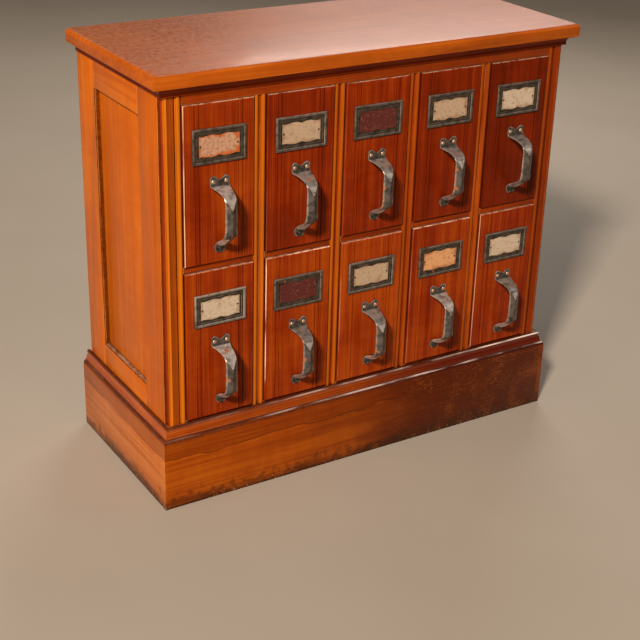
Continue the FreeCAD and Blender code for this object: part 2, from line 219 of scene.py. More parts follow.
# %% [markdown]
# ## Varnished pine
# Old pine under shellac: the wood has darker late-wood lines about 3 mm apart and fine fibres,
# and the shellac has turned orange-brown. The pattern could be drawn with a wave texture, but
# rings are easier to place as what they are: distance from the middle of the tree, divided by
# the width of a ring. Each board carries its own coordinates in an attribute named grain, whose
# z runs along the board, so one material fits boards that lie any way. The other attributes are
# tone, how dark a board is; a wear mark, for rounded edges where the finish is rubbed through,
# which on the moulding's rounds also paints a highlight; a crest mark, for beads that hands have
# polished, which also paints a highlight on them; and a mark for hollows, darkened partly as old
# dirt and partly as painted shade. Every corner is also darkened by an ambient occlusion node,
# which is painted shade. A noise of scale 420 has lumps of about 2.4 mm. Real fibres are too
# fine for this picture, so they are drawn as coarse as that.


# %% Varnished pine
def varnished_pine(name, deep, body, light, rub_and_highlight, dust="#5E4642", ring_mm=3.0,
                   dust_share=0.8, shine=0.08, overlay=None, ring_share=0.16, crest_polish_and_highlight="#B4560E",
                   corner_shade_share=0.85, dust_from=0.7, rub_from=0.34):
    """Pine in three browns and one for rubbed places, which on the moulding's rounds also paints a
    highlight. The overlay can change the colour by place.
    """
    material, tree = new_material(name)
    grain = add(tree, "Attribute", {"attribute_name": "grain"}, None, "Vector")
    tone = add(tree, "Attribute", {"attribute_name": "tone"}, None, "Fac")
    wear_and_highlight = add(tree, "Attribute", {"attribute_name": "wear_and_highlight"}, None, "Fac")
    place = add(tree, "TexCoord", output="Object")

    # Rings: the distance from the heart, swayed slowly along the board
    along = add(tree, "Mapping", None, {"Vector": grain, "Scale": (1, 1, 0.12)})
    sway = add(tree, "TexNoise", None, {"Vector": along, "Scale": 16.0, "Detail": 2.0})
    across = add(tree, "VectorMath", {"operation": "MULTIPLY"}, {0: grain, 1: (1, 1, 0)})
    radius = add(tree, "VectorMath", {"operation": "LENGTH"}, {0: across}, "Value")
    swayed = add(tree, "Math", {"operation": "MULTIPLY_ADD"}, {0: sway, 1: 0.016, 2: radius})
    count = add(tree, "Math", {"operation": "DIVIDE"}, {0: swayed, 1: ring_mm * MM})
    ring = add(tree, "Math", {"operation": "FRACT"}, {0: count})
    late = add(tree, "MapRange", {"interpolation_type": "SMOOTHSTEP"}, {0: ring, 1: 0.3, 2: 0.95})

    # Fibres 2.4 mm wide and streaks of 8 mm, both drawn out 40 times along the board, ripples of
    # 13 mm across it, and blotches of about 11 cm
    thread = add(tree, "Mapping", None, {"Vector": grain, "Scale": (1, 1, 0.025)})
    fibre = add(tree, "TexNoise", None, {"Vector": thread, "Scale": 420.0, "Detail": 2.0})
    streak = add(tree, "TexNoise", None, {"Vector": thread, "Scale": 120.0, "Detail": 3.0})
    streak = add(tree, "Math", {"operation": "MULTIPLY_ADD"}, {0: streak, 1: 0.6, 2: 0.2})
    lines = add(tree, "Math", {"operation": "MULTIPLY_ADD"}, {0: late, 1: ring_share, 2: streak})
    figure = add(tree, "Math", {"operation": "MULTIPLY_ADD"}, {0: fibre, 1: 0.30, 2: lines})
    crosswise = add(tree, "Mapping", None, {"Vector": grain, "Scale": (0.3, 1, 1)})
    ripple = add(tree, "TexNoise", None, {"Vector": crosswise, "Scale": 75.0, "Detail": 3.0})
    figure = add(tree, "Math", {"operation": "MULTIPLY_ADD"}, {0: ripple, 1: 0.20, 2: figure})
    toned = add(tree, "Math", {"operation": "MULTIPLY_ADD"}, {0: tone, 1: 0.5, 2: figure})
    blotch = add(tree, "TexNoise", None, {"Vector": place, "Scale": 9.0, "Detail": 2.0})
    shade = add(tree, "Math", {"operation": "MULTIPLY_ADD"}, {0: blotch, 1: 0.45, 2: toned})
    to_body = add(tree, "MapRange", None, {0: shade, 1: 0.85, 2: 1.20})
    to_deep = add(tree, "MapRange", None, {0: shade, 1: 1.15, 2: 1.60})
    colour = add(tree, "Mix", {"data_type": "RGBA"},
                 {0: to_body, 6: paint(light), 7: paint(body)}, 2)
    colour = add(tree, "Mix", {"data_type": "RGBA"}, {0: to_deep, 6: colour, 7: paint(deep)}, 2)

    if overlay:
        colour = overlay(tree, colour, place)

    # Beads that stick out are turned orange: partly polish, where hands thinned the shellac, and
    # partly a painted highlight, where the light catches them
    polish_and_highlight = add(tree, "Attribute", {"attribute_name": "crest_polish_and_highlight"}, None, "Fac")
    patchy = add(tree, "MapRange", None, {0: streak, 1: 0.38, 2: 0.62, 3: 0.95, 4: 0.6})
    polish_and_highlight = add(tree, "Math", {"operation": "MULTIPLY"}, {0: polish_and_highlight, 1: patchy})
    colour = add(tree, "Mix", {"data_type": "RGBA"}, {0: polish_and_highlight, 6: colour, 7: paint(crest_polish_and_highlight)}, 2)

    # Painted shade with old dirt: an ambient occlusion node darkens every corner and gap towards
    # near black, and the marked hollows are darkened the same way
    open_share = add(tree, "AmbientOcclusion", {"samples": 8}, {"Distance": 7 * MM}, "AO")
    corner = add(tree, "MapRange", {"interpolation_type": "SMOOTHSTEP"},
                 {0: open_share, 1: 0.75, 2: 0.25, 4: corner_shade_share})
    dirt_and_shade = add(tree, "Attribute", {"attribute_name": "dirt_and_shade"}, None, "Fac")
    crumbs = add(tree, "TexNoise", None, {"Vector": place, "Scale": 160.0, "Detail": 4.0})
    crumbs = add(tree, "MapRange", None, {0: crumbs, 1: 0.35, 2: 0.65, 3: 0.85, 4: 0.62})
    dirt_and_shade = add(tree, "Math", {"operation": "MULTIPLY"}, {0: dirt_and_shade, 1: crumbs})
    shade_and_dirt = add(tree, "Math", {"operation": "MAXIMUM"}, {0: corner, 1: dirt_and_shade})
    colour = add(tree, "Mix", {"data_type": "RGBA"}, {0: shade_and_dirt, 6: colour, 7: paint("#200803")}, 2)

    # Dust lies on what faces up
    facing = add(tree, "NewGeometry", None, None, "True Normal")
    upward = add(tree, "SeparateXYZ", None, {0: facing}, "Z")
    ledge = add(tree, "MapRange", None,
                {0: upward, 1: dust_from, 2: dust_from + 0.27, 4: dust_share})
    grit = add(tree, "TexNoise", None, {"Vector": place, "Scale": 120.0, "Detail": 4.0})
    grit = add(tree, "MapRange", None, {0: grit, 1: 0.3, 2: 0.6})
    lying = add(tree, "Math", {"operation": "MULTIPLY"}, {0: grit, 1: ledge})
    colour = add(tree, "Mix", {"data_type": "RGBA"}, {0: lying, 6: colour, 7: paint(dust)}, 2)

    # Rubbed edges, in long strokes along the board; on the moulding's rounds the same mark paints a
    # highlight
    stroke = add(tree, "Mapping", None, {"Vector": grain, "Scale": (1, 1, 0.15)})
    patch = add(tree, "TexNoise", None, {"Vector": stroke, "Scale": 90.0, "Detail": 3.0})
    rub_and_highlight_mask = add(tree, "MapRange", {"interpolation_type": "SMOOTHSTEP"},
              {0: patch, 1: rub_from, 2: rub_from + 0.22})
    rub_and_highlight_mask = add(tree, "Math", {"operation": "MULTIPLY"}, {0: rub_and_highlight_mask, 1: wear_and_highlight})
    colour = add(tree, "Mix", {"data_type": "RGBA"}, {0: rub_and_highlight_mask, 6: colour, 7: paint(rub_and_highlight)}, 2)

    # Shellac has an IOR of 1.5 and a thin gloss; dirt and painted shade have none, and dusty or
    # rubbed wood is matt
    matt = add(tree, "Math", {"operation": "MAXIMUM"}, {0: rub_and_highlight_mask, 1: lying})
    shade_dirt_and_dust = add(tree, "Math", {"operation": "MAXIMUM"}, {0: shade_and_dirt, 1: lying})
    gloss = add(tree, "MapRange", None, {0: shade_dirt_and_dust, 3: shine, 4: 0.0})
    rough = add(tree, "MapRange", None, {0: matt, 3: 0.36, 4: 0.75})
    bump = add(tree, "Bump", None, {"Strength": 0.25, "Distance": 0.4 * MM, "Height": figure})
    shader = add(tree, "BsdfPrincipled", None,
                 {"Base Color": colour, "Roughness": rough, "Normal": bump, "IOR": 1.5,
                  "Specular IOR Level": 0.18, "Specular Tint": paint("#F2B070"),
                  "Coat Weight": gloss, "Coat Roughness": 0.12})
    add(tree, "OutputMaterial", None, {"Surface": shader})
    return material


case_pine = varnished_pine("orange_varnished_pine", "#9A420C", "#BC5A10", "#CE7018", "#E39A4E",
                           dust="#CBB6A6", dust_share=0.4, ring_share=0.05)
top_pine = varnished_pine("orange_varnished_top_pine", "#8E3C0C", "#B4540F", "#C8681A", "#E39A4E",
                          dust="#A8907C", dust_share=0.3)
frame_pine = varnished_pine("red_varnished_pine", "#541603", "#8A2A04", "#A84608", "#E8A060",
                            dust_share=0.5, crest_polish_and_highlight="#E07C14")
rail_pine = varnished_pine("orange_red_varnished_pine", "#661E04", "#923606", "#AC4C0C", "#E8A060",
                           dust_share=0.5)
front_pine = varnished_pine("deep_red_varnished_pine", "#561402", "#882604", "#B04A0A",
                            "#F0C09C", dust="#C49A86", dust_share=0.5, ring_mm=2.6, crest_polish_and_highlight="#C0600E",
                            corner_shade_share=0.55)
print("finishes:", ", ".join(m.name for m in (case_pine, top_pine, frame_pine, rail_pine)))
print("fronts' finish:", front_pine.name)

# %% [markdown]
# The plinth has the same finish, but it is kicked and mopped. Its foot is scuffed dark, and the
# right half of its front has lost its colour under a hazy dark layer with fine pale scratches.
# Both follow the place on the object, so they are drawn from Object coordinates. The numbers are
# heights above the floor and places to the right of the middle: the tide line of the smoky band,
# where the dark half begins and is full, its worn end, the scuffed foot, and the chips.


# %% Scuffed plinth finish
TIDE = 105 * MM
TIDE_HALF = 0.9 * MM
DARK_FROM, DARK_FULL = 20 * MM, 320 * MM
END_FROM, END_FULL = 364 * MM, 367 * MM
FOOT_FROM, FOOT_FULL = -4 * MM, -26 * MM
CHIPS_BELOW = 20 * MM


def kicked(tree, colour, place):
    """A smoky band under the moulding, a scuffed foot, and a dark right half with scratches."""
    left_right = add(tree, "SeparateXYZ", None, {0: place}, "X")
    height = add(tree, "SeparateXYZ", None, {0: place}, "Z")
    drawn_out = add(tree, "Mapping", None, {"Vector": place, "Scale": (0.25, 0.25, 1)})
    cloud = add(tree, "TexNoise", None, {"Vector": drawn_out, "Scale": 26.0, "Detail": 4.0})

    waved = add(tree, "Math", {"operation": "MULTIPLY_ADD"}, {0: cloud, 1: 0.035, 2: height})
    band = add(tree, "MapRange", {"interpolation_type": "SMOOTHSTEP"},
               {0: waved, 1: TIDE - 2 * MM, 2: TIDE + 3 * MM, 4: 0.5})
    colour = add(tree, "Mix", {"data_type": "RGBA"}, {0: band, 6: colour, 7: paint("#6A2204")}, 2)
    tide = add(tree, "Math", {"operation": "COMPARE"}, {0: waved, 1: TIDE, 2: TIDE_HALF})
    tide = add(tree, "Math", {"operation": "MULTIPLY"}, {0: tide, 1: 0.6})
    colour = add(tree, "Mix", {"data_type": "RGBA"}, {0: tide, 6: colour, 7: paint("#3A1404")}, 2)

    shifted = add(tree, "Math", {"operation": "MULTIPLY_ADD"}, {0: cloud, 1: 0.35, 2: left_right})
    right_half = add(tree, "MapRange", {"interpolation_type": "SMOOTHSTEP"},
                     {0: shifted, 1: DARK_FROM, 2: DARK_FULL, 4: 0.88})
    worn_end = add(tree, "MapRange", None,
                   {0: left_right, 1: END_FROM, 2: END_FULL, 3: 1.0, 4: 0.35})
    right_half = add(tree, "Math", {"operation": "MULTIPLY"}, {0: right_half, 1: worn_end})
    colour = add(tree, "Mix", {"data_type": "RGBA"},
                 {0: right_half, 6: colour, 7: paint("#4A1502")}, 2)

    lifted = add(tree, "Math", {"operation": "MULTIPLY_ADD"}, {0: cloud, 1: -0.05, 2: height})
    foot = add(tree, "MapRange", {"interpolation_type": "SMOOTHSTEP"},
               {0: lifted, 1: FOOT_FROM, 2: FOOT_FULL, 4: 0.8})
    colour = add(tree, "Mix", {"data_type": "RGBA"}, {0: foot, 6: colour, 7: paint("#3E1A08")}, 2)
    scuffs = add(tree, "TexNoise", None, {"Vector": place, "Scale": 75.0, "Detail": 6.0})
    scuffs = add(tree, "Math", {"operation": "MULTIPLY_ADD"}, {0: height, 1: -9.0, 2: scuffs})
    scuffs = add(tree, "MapRange", {"interpolation_type": "SMOOTHSTEP"},
                 {0: scuffs, 1: 0.30, 2: 0.50, 4: 0.5})
    colour = add(tree, "Mix", {"data_type": "RGBA"},
                 {0: scuffs, 6: colour, 7: paint("#361808")}, 2)
    chips = add(tree, "TexNoise", None, {"Vector": place, "Scale": 260.0, "Detail": 4.0})
    near_floor = add(tree, "MapRange", None,
                     {0: height, 1: CHIPS_BELOW, 2: 0.0, 3: -0.10, 4: 0.10})
    chips = add(tree, "Math", {"operation": "ADD"}, {0: chips, 1: near_floor})
    chips = add(tree, "MapRange", None, {0: chips, 1: 0.69, 2: 0.73, 4: 0.75})
    colour = add(tree, "Mix", {"data_type": "RGBA"}, {0: chips, 6: colour, 7: paint("#C08A5C")}, 2)

    scratches = add(tree, "Mapping", None, {"Vector": place, "Scale": (0.22, 0.22, 1)})
    hair = add(tree, "TexNoise", None, {"Vector": scratches, "Scale": 900.0, "Detail": 4.0})
    veil = add(tree, "TexNoise", None, {"Vector": place, "Scale": 26.0, "Detail": 3.0})
    hair = add(tree, "Math", {"operation": "MULTIPLY_ADD"}, {0: veil, 1: 0.6, 2: hair})
    hair = add(tree, "Math", {"operation": "MULTIPLY_ADD"}, {0: left_right, 1: 0.25, 2: hair})
    hair = add(tree, "MapRange", None, {0: hair, 1: 0.91, 2: 1.03, 4: 0.7})
    haze = add(tree, "Math", {"operation": "MULTIPLY"}, {0: hair, 1: right_half})
    return add(tree, "Mix", {"data_type": "RGBA"}, {0: haze, 6: colour, 7: paint("#944A18")}, 2)


# The left side of the plinth has the front's finish, drawn lighter and yellower: painted light, for
# the side that is lit more strongly.
lit_side_plinth_pine = varnished_pine("scuffed_pine_lit_side", "#8A4012", "#B4602A", "#CC7C3E", "#E0B080",
                                  shine=0.05, overlay=kicked, ring_mm=4.0, ring_share=0.06)
plinth_pine = varnished_pine("scuffed_varnished_pine", "#6E2804", "#9E4406", "#BC600C", "#D79A60",
                             shine=0.06, overlay=kicked, ring_mm=4.0, ring_share=0.10)
print("plinth finishes:", lit_side_plinth_pine.name, plinth_pine.name)

# %% [markdown]
# The moulding on the plinth is dusty orange at the left and a glossy dark red at the right, so
# its colour turns along its length.


# %% Moulding finish
def reddened(tree, colour, place):
    """Turns the colour from orange at the left to deep red at the right."""
    left_right = add(tree, "SeparateXYZ", None, {0: place}, "X")
    right_half = add(tree, "MapRange", {"interpolation_type": "SMOOTHSTEP"},
                     {0: left_right, 1: -0.15, 2: 0.2, 4: 0.92})
    return add(tree, "Mix", {"data_type": "RGBA"},
               {0: right_half, 6: colour, 7: paint("#5A1204")}, 2)


moulding_pine = varnished_pine("glossy_moulding_pine", "#7A2A06", "#A4460A", "#BE5C10", "#F0D8CC",
                               dust="#44221A", shine=0.9, dust_share=0.85, dust_from=0.35,
                               overlay=reddened, rub_from=0.40)
print("moulding finish:", moulding_pine.name)

# %% [markdown]
# Inside, nothing was varnished: the drawer boxes, runners and the back are bare pine that has
# gone brown. It is the same function with dull colours and no shine.

# %% Bare inner wood
inner_pine = varnished_pine("bare_aged_pine", "#7A5230", "#A67C50", "#BF9768", "#C8A880",
                            dust="#8C7660", shine=0.0, ring_mm=4.0)
print("inner wood:", inner_pine.name)

# %% [markdown]
# ## Boards
# A CAD board has razor edges. On the real cabinet each edge is rounded by half a millimetre or
# more, and that thin line of light is what makes it look like wood. So each board is copied,
# its triangles are merged back to whole faces, and its sharp edges are bevelled. The copy
# replaces the CAD node. A bevel modifier couldn't do it, because the model's triangles are loose.


# %% Copies and roundings
SHARP = math.radians(35)


def open_copy(node):
    """A merged copy of a CAD node's mesh, with its flat faces whole again."""
    bm = bmesh.new()
    bm.from_mesh(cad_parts[node].data)
    bmesh.ops.remove_doubles(bm, verts=bm.verts, dist=0.01 * MM)
    bmesh.ops.dissolve_limit(bm, angle_limit=math.radians(1), verts=bm.verts, edges=bm.edges)
    return bm


def soften(bm, width, edges=None, segments=2):
    """Rounds the sharp edges and marks the middle of each rounding as worn."""
    wear_and_highlight = bm.verts.layers.float.get("wear_and_highlight") or bm.verts.layers.float.new("wear_and_highlight")
    if edges is None:
        edges = [e for e in bm.edges if len(e.link_faces) == 2
                 and e.calc_face_angle(0) > SHARP and e.calc_length() > 5 * width]
    made = bmesh.ops.bevel(bm, geom=edges, offset=width, segments=segments, profile=0.5,
                           affect="EDGES", material=-1, clamp_overlap=True)
    rounding = set(made["faces"])
    for vert in made["verts"]:
        if vert.is_valid and all(face in rounding for face in vert.link_faces):
            vert[wear_and_highlight] = 1.0


# %% [markdown]
# A mesh may hold several boards, and they are told apart by walking along their edges. Each gets
# its own grain and tone by chance, from a draw that starts with its name, so it is the same board
# every time. Beads that stick out most are marked for an orange that is partly polish and partly
# a painted highlight.


# %% Grain and marks
def boards_of(bm):
    """The separate boards of a mesh, each as a list of vertices."""
    left = set(bm.verts)
    while left:
        front = [left.pop()]
        board = []
        while front:
            vert = front.pop()
            board.append(vert)
            for edge in vert.link_edges:
                other = edge.other_vert(vert)
                if other in left:
                    left.remove(other)
                    front.append(other)
        yield board


def mark_crest_polish_and_highlight(bm, fall, lines, dull=None, power=1.0):
    """Marks how near a vertex is to the foremost plane, within half of each (x, half, share)
    line, and less on a flat that lies dull deep; the mark is polish and a painted highlight. A
    lower power makes a broader crest."""
    crest_polish_and_highlight = bm.verts.layers.float.new("crest_polish_and_highlight")
    foremost = min(v.co.y for v in bm.verts)
    for vert in bm.verts:
        depth = vert.co.y - foremost
        near = [share for x, half, share in lines if abs(vert.co.x - x) < half]
        flat = dull is not None and abs(depth - dull) < 0.15 * MM
        high = max(0.0, 1 - depth / fall) ** power
        vert[crest_polish_and_highlight] = max(near + [0.0]) * high * (0.3 if flat else 1.0)


def lay_grain(bm, name, tone, spread=0.12, along=None, flat_sawn=False, first=0.0):
    """Gives each board its own grain coordinates, along its longest side, and its tone. The
    first board, which is the one furthest left and forward, is darker by first."""
    grain = bm.verts.layers.float_vector.new("grain")
    tones = bm.verts.layers.float.new("tone")
    for number, board in enumerate(sorted(boards_of(bm), key=lambda b: min(v.co[:] for v in b))):
        chance = random.Random("%s %d" % (name, number))
        low = [min(v.co[i] for v in board) for i in range(3)]
        high = [max(v.co[i] for v in board) for i in range(3)]
        order = sorted(range(3), key=lambda i: high[i] - low[i])
        if along is not None:
            order = [i for i in order if i != along] + [along]
        thick, wide, long = order
        heart = (chance.choice((-1, 1)) * chance.uniform(0.10, 0.22), chance.uniform(0.02, 0.08))
        if flat_sawn:
            heart = (chance.uniform(-0.03, 0.03), chance.uniform(0.05, 0.09))
        shift = chance.uniform(-4, 4)
        board_tone = tone + chance.uniform(-spread, spread) + (first if number == 0 else 0)
        for vert in board:
            vert[grain] = (vert.co[wide] - (low[wide] + high[wide]) / 2 + heart[0],
                           vert.co[thick] - (low[thick] + high[thick]) / 2 + heart[1],
                           vert.co[long] + shift)
            vert[tones] = board_tone


# %% [markdown]
# A finished mesh becomes an object that moves with its body and takes the place of the CAD nodes
# that it dresses.


# %% From mesh to object
def put(bm, name, body, material, slot, *nodes):
    """Makes an object of the mesh, smooth except at sharp edges, and hangs it on its body."""
    for face in bm.faces:
        face.smooth = True
    for edge in bm.edges:
        edge.smooth = len(edge.link_faces) == 2 and edge.calc_face_angle(0) < SHARP
    mesh = bpy.data.meshes.new(name)
    bm.to_mesh(mesh)
    bm.free()
    mesh.materials.append(material)
    piece = bpy.data.objects.new(name, mesh)
    bpy.context.scene.collection.objects.link(piece)
    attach(piece, body)
    if nodes:
        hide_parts(*nodes)
    return piece


# %% [markdown]
# Most boards lie apart from each other in the model, so a whole node can be copied at once. Each
# row of the table is a node, its material and slot, the rounding of its edges in millimetres and
# its tone. A crest is the x of a bead, half the width that it takes, and how strong its orange of
# polish and painted highlight is.

# %% Loose boards of the case
plain_boards = [
    ("plinth_front", plinth_pine, "plinth_wood", 1.0, 0.35),
    ("plinth_left", lit_side_plinth_pine, "plinth_wood", 1.0, 0.3),
    ("plinth_right", plinth_pine, "plinth_wood", 1.0, 0.45),
    ("plinth_back", plinth_pine, "plinth_wood", 1.0, 0.5),
    ("side_panel_left", case_pine, "case_wood", 0.5, 0.4),
    ("side_panel_right", case_pine, "case_wood", 0.5, 0.4),
    ("face_stiles", frame_pine, "case_wood", 0.5, 0.35),
    ("divider_posts", frame_pine, "case_wood", 0.4, 0.35),
    ("drawer_rails", rail_pine, "case_wood", 0.5, 0.5),
    ("top_rail", rail_pine, "case_wood", 0.5, 0.5),
    ("top_board", top_pine, "case_wood", 0.8, 0.5),
    ("bottom_board", inner_pine, "inner_wood", 0.5, 0.5),
    ("partitions", inner_pine, "inner_wood", 0.5, 0.5),
    ("back_boards", inner_pine, "inner_wood", 0.6, 0.5),
    ("drawer_stops", inner_pine, "inner_wood", 0.5, 0.5),
]
# The crest shares fall from left to right, on the stiles and from post to post: partly polish,
# partly a painted highlight for light that falls off to the right.
crests = {"face_stiles": [(cad_bounds[0].x, 0.1, 0.95), (cad_bounds[1].x, 0.1, 0.2)],
          "divider_posts": []}
for column, share in zip(COLUMNS, (0.75, 0.5, 0.25, 0.25)):
    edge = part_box("drawer_front_r1c%d" % column)[1].x
    crests["divider_posts"].append((edge, 0.03, share))
for node, material, slot, rounding, tone in plain_boards:
    bm = open_copy(node)
    soften(bm, rounding * MM)
    if node in crests:
        mark_crest_polish_and_highlight(bm, 2.6 * MM, crests[node], dull=1.0 * MM, power=0.5)
    lay_grain(bm, node, tone, flat_sawn=node.startswith("plinth"))
    put(bm, "dressed_" + node, CABINET, material, slot, node)
print("dressed nodes:", len(plain_boards))


# %% [markdown]
# The members of each side frame touch, and so do the lengths of moulding. Merged as one they
# would lose the joint between them. So each member is sawn out of the copy with planes, as a
# joiner would, and the cut is closed. A tenth of a millimetre is lost, which leaves the hairline
# that a real joint shows.


# %% Saw
def cut_through(bm, point, normal, clear=False):
    """Cuts every face along a plane, clears what is beyond it if asked, and returns the cut."""
    everything = bm.verts[:] + bm.edges[:] + bm.faces[:]
    return bmesh.ops.bisect_plane(bm, geom=everything, dist=1e-7, plane_co=Vector(point),
                                  plane_no=Vector(normal), clear_outer=clear)["geom_cut"]


def sawn(node, *cuts):
    """The part of a node that is left when everything beyond each (point, normal) is cut off."""
    bm = open_copy(node)
    for point, normal in cuts:
        cut = cut_through(bm, point, normal, clear=True)
        rim = [g for g in cut if isinstance(g, bmesh.types.BMEdge)]
        bmesh.ops.holes_fill(bm, edges=rim, sides=0)
    return bm


def joined(meshes):
    """One mesh of several, whose boards stay apart."""
    whole = bmesh.new()
    for bm in meshes:
        mesh = bpy.data.meshes.new("board")
        bm.to_mesh(mesh)
        bm.free()
        whole.from_mesh(mesh)
        bpy.data.meshes.remove(mesh)
    return whole


HAIRLINE = 0.12 * MM


# %% [markdown]
# A side frame is two stiles with two rails between them, grooved for the tongue of the panel.
# The hollows round the panel and the front edge are darkened, partly as old dirt and partly as
# painted shade. They are marked face by face, because a mark on a vertex would fade over the long
# faces beside it.

# %% Side frames
STICKING = 2.0 * MM
TONGUE = 6.0 * MM
HOLLOW = 0.6 * MM
FRONT_EDGE = 0.2 * MM
for side in ("left", "right"):
    panel_low, panel_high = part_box("side_panel_" + side)
    y1, z1 = panel_low.y + TONGUE, panel_low.z + TONGUE
    y2, z2 = panel_high.y - TONGUE, panel_high.z - TONGUE
    node = "side_frame_" + side
    between = [((0, y1 + HAIRLINE, 0), (0, -1, 0)), ((0, y2 - HAIRLINE, 0), (0, 1, 0))]
    members = [
        sawn(node, ((0, y1 - HAIRLINE, 0), (0, 1, 0))),
        sawn(node, ((0, y2 + HAIRLINE, 0), (0, -1, 0))),
        sawn(node, *between, ((0, 0, z1 + STICKING), (0, 0, 1))),
        sawn(node, *between, ((0, 0, z2 - STICKING), (0, 0, -1))),
    ]
    bm = joined(members)
    soften(bm, 0.4 * MM)
    dirt_and_shade = bm.faces.layers.float.new("dirt_and_shade")
    low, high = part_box(node)
    outer_face = high.x if side == "right" else low.x
    bm.normal_update()
    # Painted shade with dirt: the hollows and the front edge get the dark mark.
    for face in bm.faces:
        middle = face.calc_center_median()
        deep = abs(middle.x - outer_face) > HOLLOW and abs(face.normal.x) < 0.9
        face[dirt_and_shade] = 1.0 if deep or middle.y < low.y + FRONT_EDGE else 0.0
    lay_grain(bm, node, 0.4, 0.08, first=0.25)
    put(bm, "dressed_" + node, CABINET, case_pine, "case_wood", node)
    print(node, "members:", len(members))


# %% [markdown]
# A moulding is planted round the plinth and another under the top. Each is three lengths with
# mitres at the two front corners, so the saw cuts at 45 degrees. On the lower one the two rounds
# get a pale line, partly wear and partly a painted highlight, from near the middle to the right,
# and the ledges below and above them are darkened, partly as dirt and partly as painted shade.


# %% Mitred mouldings
def mitred_lengths(node):
    low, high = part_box(node)
    corner_left = Vector((low.x, low.y, 0))
    corner_right = Vector((high.x, low.y, 0))
    slip = Vector((0, HAIRLINE, 0))
    return [
        sawn(node, (corner_left - slip, (-1, 1, 0)), (corner_right - slip, (1, 1, 0))),
        sawn(node, (corner_left + slip, (1, -1, 0))),
        sawn(node, (corner_right + slip, (-1, -1, 0))),
    ]


NOSES = [(4.2 * MM, 6.6 * MM), (21.2 * MM, 23.4 * MM)]
LOWER_LEDGE, UPPER_LEDGE = 7 * MM, 21 * MM
# The pale line on the rounds starts here and is full after this run to the right, where the rounds
# mirror the right-hand lamp: wear and a painted highlight.
NOSE_LINE_FROM, NOSE_LINE_RUN = 20 * MM, 280 * MM


def mark_nose_line_and_ledges(bm, foot_z):
    """Marks the rounds of the plinth moulding with a pale line, partly wear and partly a painted
    highlight, stronger towards the right, and darkens its two ledges as dirt and painted shade."""
    wear_and_highlight = bm.verts.layers.float["wear_and_highlight"]
    dirt_and_shade = bm.verts.layers.float.new("dirt_and_shade")
    for vert in bm.verts:
        up = vert.co.z - foot_z
        share = min(1.0, max(0.0, (vert.co.x - NOSE_LINE_FROM) / NOSE_LINE_RUN))
        on_nose = any(foot < up < top for foot, top in NOSES)
        vert[wear_and_highlight] = (0.04 + 0.96 * share) if on_nose else 0.0
        vert[dirt_and_shade] = 0.85 if up < LOWER_LEDGE or up > UPPER_LEDGE else 0.0


for node, material, slot in (("plinth_moulding", moulding_pine, "plinth_wood"),
                             ("top_moulding", frame_pine, "case_wood")):
    bm = joined(mitred_lengths(node))
    soften(bm, 0.35 * MM)
    if node == "plinth_moulding":
        mark_nose_line_and_ledges(bm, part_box(node)[0].z)
    lay_grain(bm, node, 0.45, 0.05)
    put(bm, "dressed_" + node, CABINET, material, slot, node)
    print(node, "is three mitred lengths")

# %% [markdown]
# ## Drawer fronts
# Each front has a narrow bead between two quirks near each side. In the model the bead is flat,
# so its two edges get a wide rounding here, and it catches the light as a round bead does. The
# side and top edges of the fronts stand proud and have lost their finish, some much more than
# others, which numbers for each drawer set. Cuts along those edges make a narrow strip of faces
# of its own, so that the wear ends there and doesn't fade across the whole front.

# %% Edges of a front
BEAD_INSET = 18.2 * MM
BEAD_WIDTH = 6.6 * MM
QUIRK_HALF = 0.75 * MM
FRONT_TONE = {"r1c1": 0.30, "r1c2": 0.12, "r1c3": -0.05, "r1c4": 0.24, "r1c5": 0.30,
              "r2c1": 0.24, "r2c2": 0.46, "r2c3": 0.38, "r2c4": 0.56, "r2c5": 0.86}
EDGE_WEAR = {  # left, top, right
    "r1c1": (0.0, 0.3, 0.1), "r1c2": (1.0, 0.9, 0.1), "r1c3": (0.2, 0.3, 0.05),
    "r1c4": (0.12, 0.75, 0.05), "r1c5": (0.45, 0.3, 0.1), "r2c1": (0.8, 0.4, 0.1),
    "r2c2": (0.05, 0.3, 0.05), "r2c3": (0.05, 0.3, 0.05), "r2c4": (0.0, 0.3, 0.05),
    "r2c5": (0.0, 0.3, 0.1)}
ARRIS = 0.8 * MM
WORN_STRIP = 1.2 * MM
WORN_TOP = 2.6 * MM
SLACK = 0.1 * MM
BEAD_ROUND = 1.7 * MM
CREST_FALL = 1.6 * MM
CREST_HALF = 1.4 * MM


def on_plane(edge, axis, level, slack=0.02 * MM):
    """Whether both ends of an edge are at this level on this axis."""
    return all(abs(vert.co[axis] - level) < slack for vert in edge.verts)


def bead_edges(bm, low, high):
    """The long edges where the beads meet their quirks."""
    lines = []
    for inset in (BEAD_INSET + QUIRK_HALF, BEAD_INSET + BEAD_WIDTH - QUIRK_HALF):
        lines += [low.x + inset, high.x - inset]
    return [e for e in bm.edges
            if on_plane(e, 1, low.y) and any(on_plane(e, 0, x, 0.05 * MM) for x in lines)]


def arris_edges(bm, low, high):
    """The four outer edges of the front face."""
    sides = [(0, low.x), (0, high.x), (2, high.z), (2, low.z)]
    return [e for e in bm.edges
            if on_plane(e, 1, low.y) and any(on_plane(e, axis, level) for axis, level in sides)]


# %% [markdown]
# Each front is copied, its beads and outer edges are rounded, its strips are cut, and the wear
# and the crests' polish and painted highlight are marked. The ten boards differ in tone, so each
# drawer has its own number.

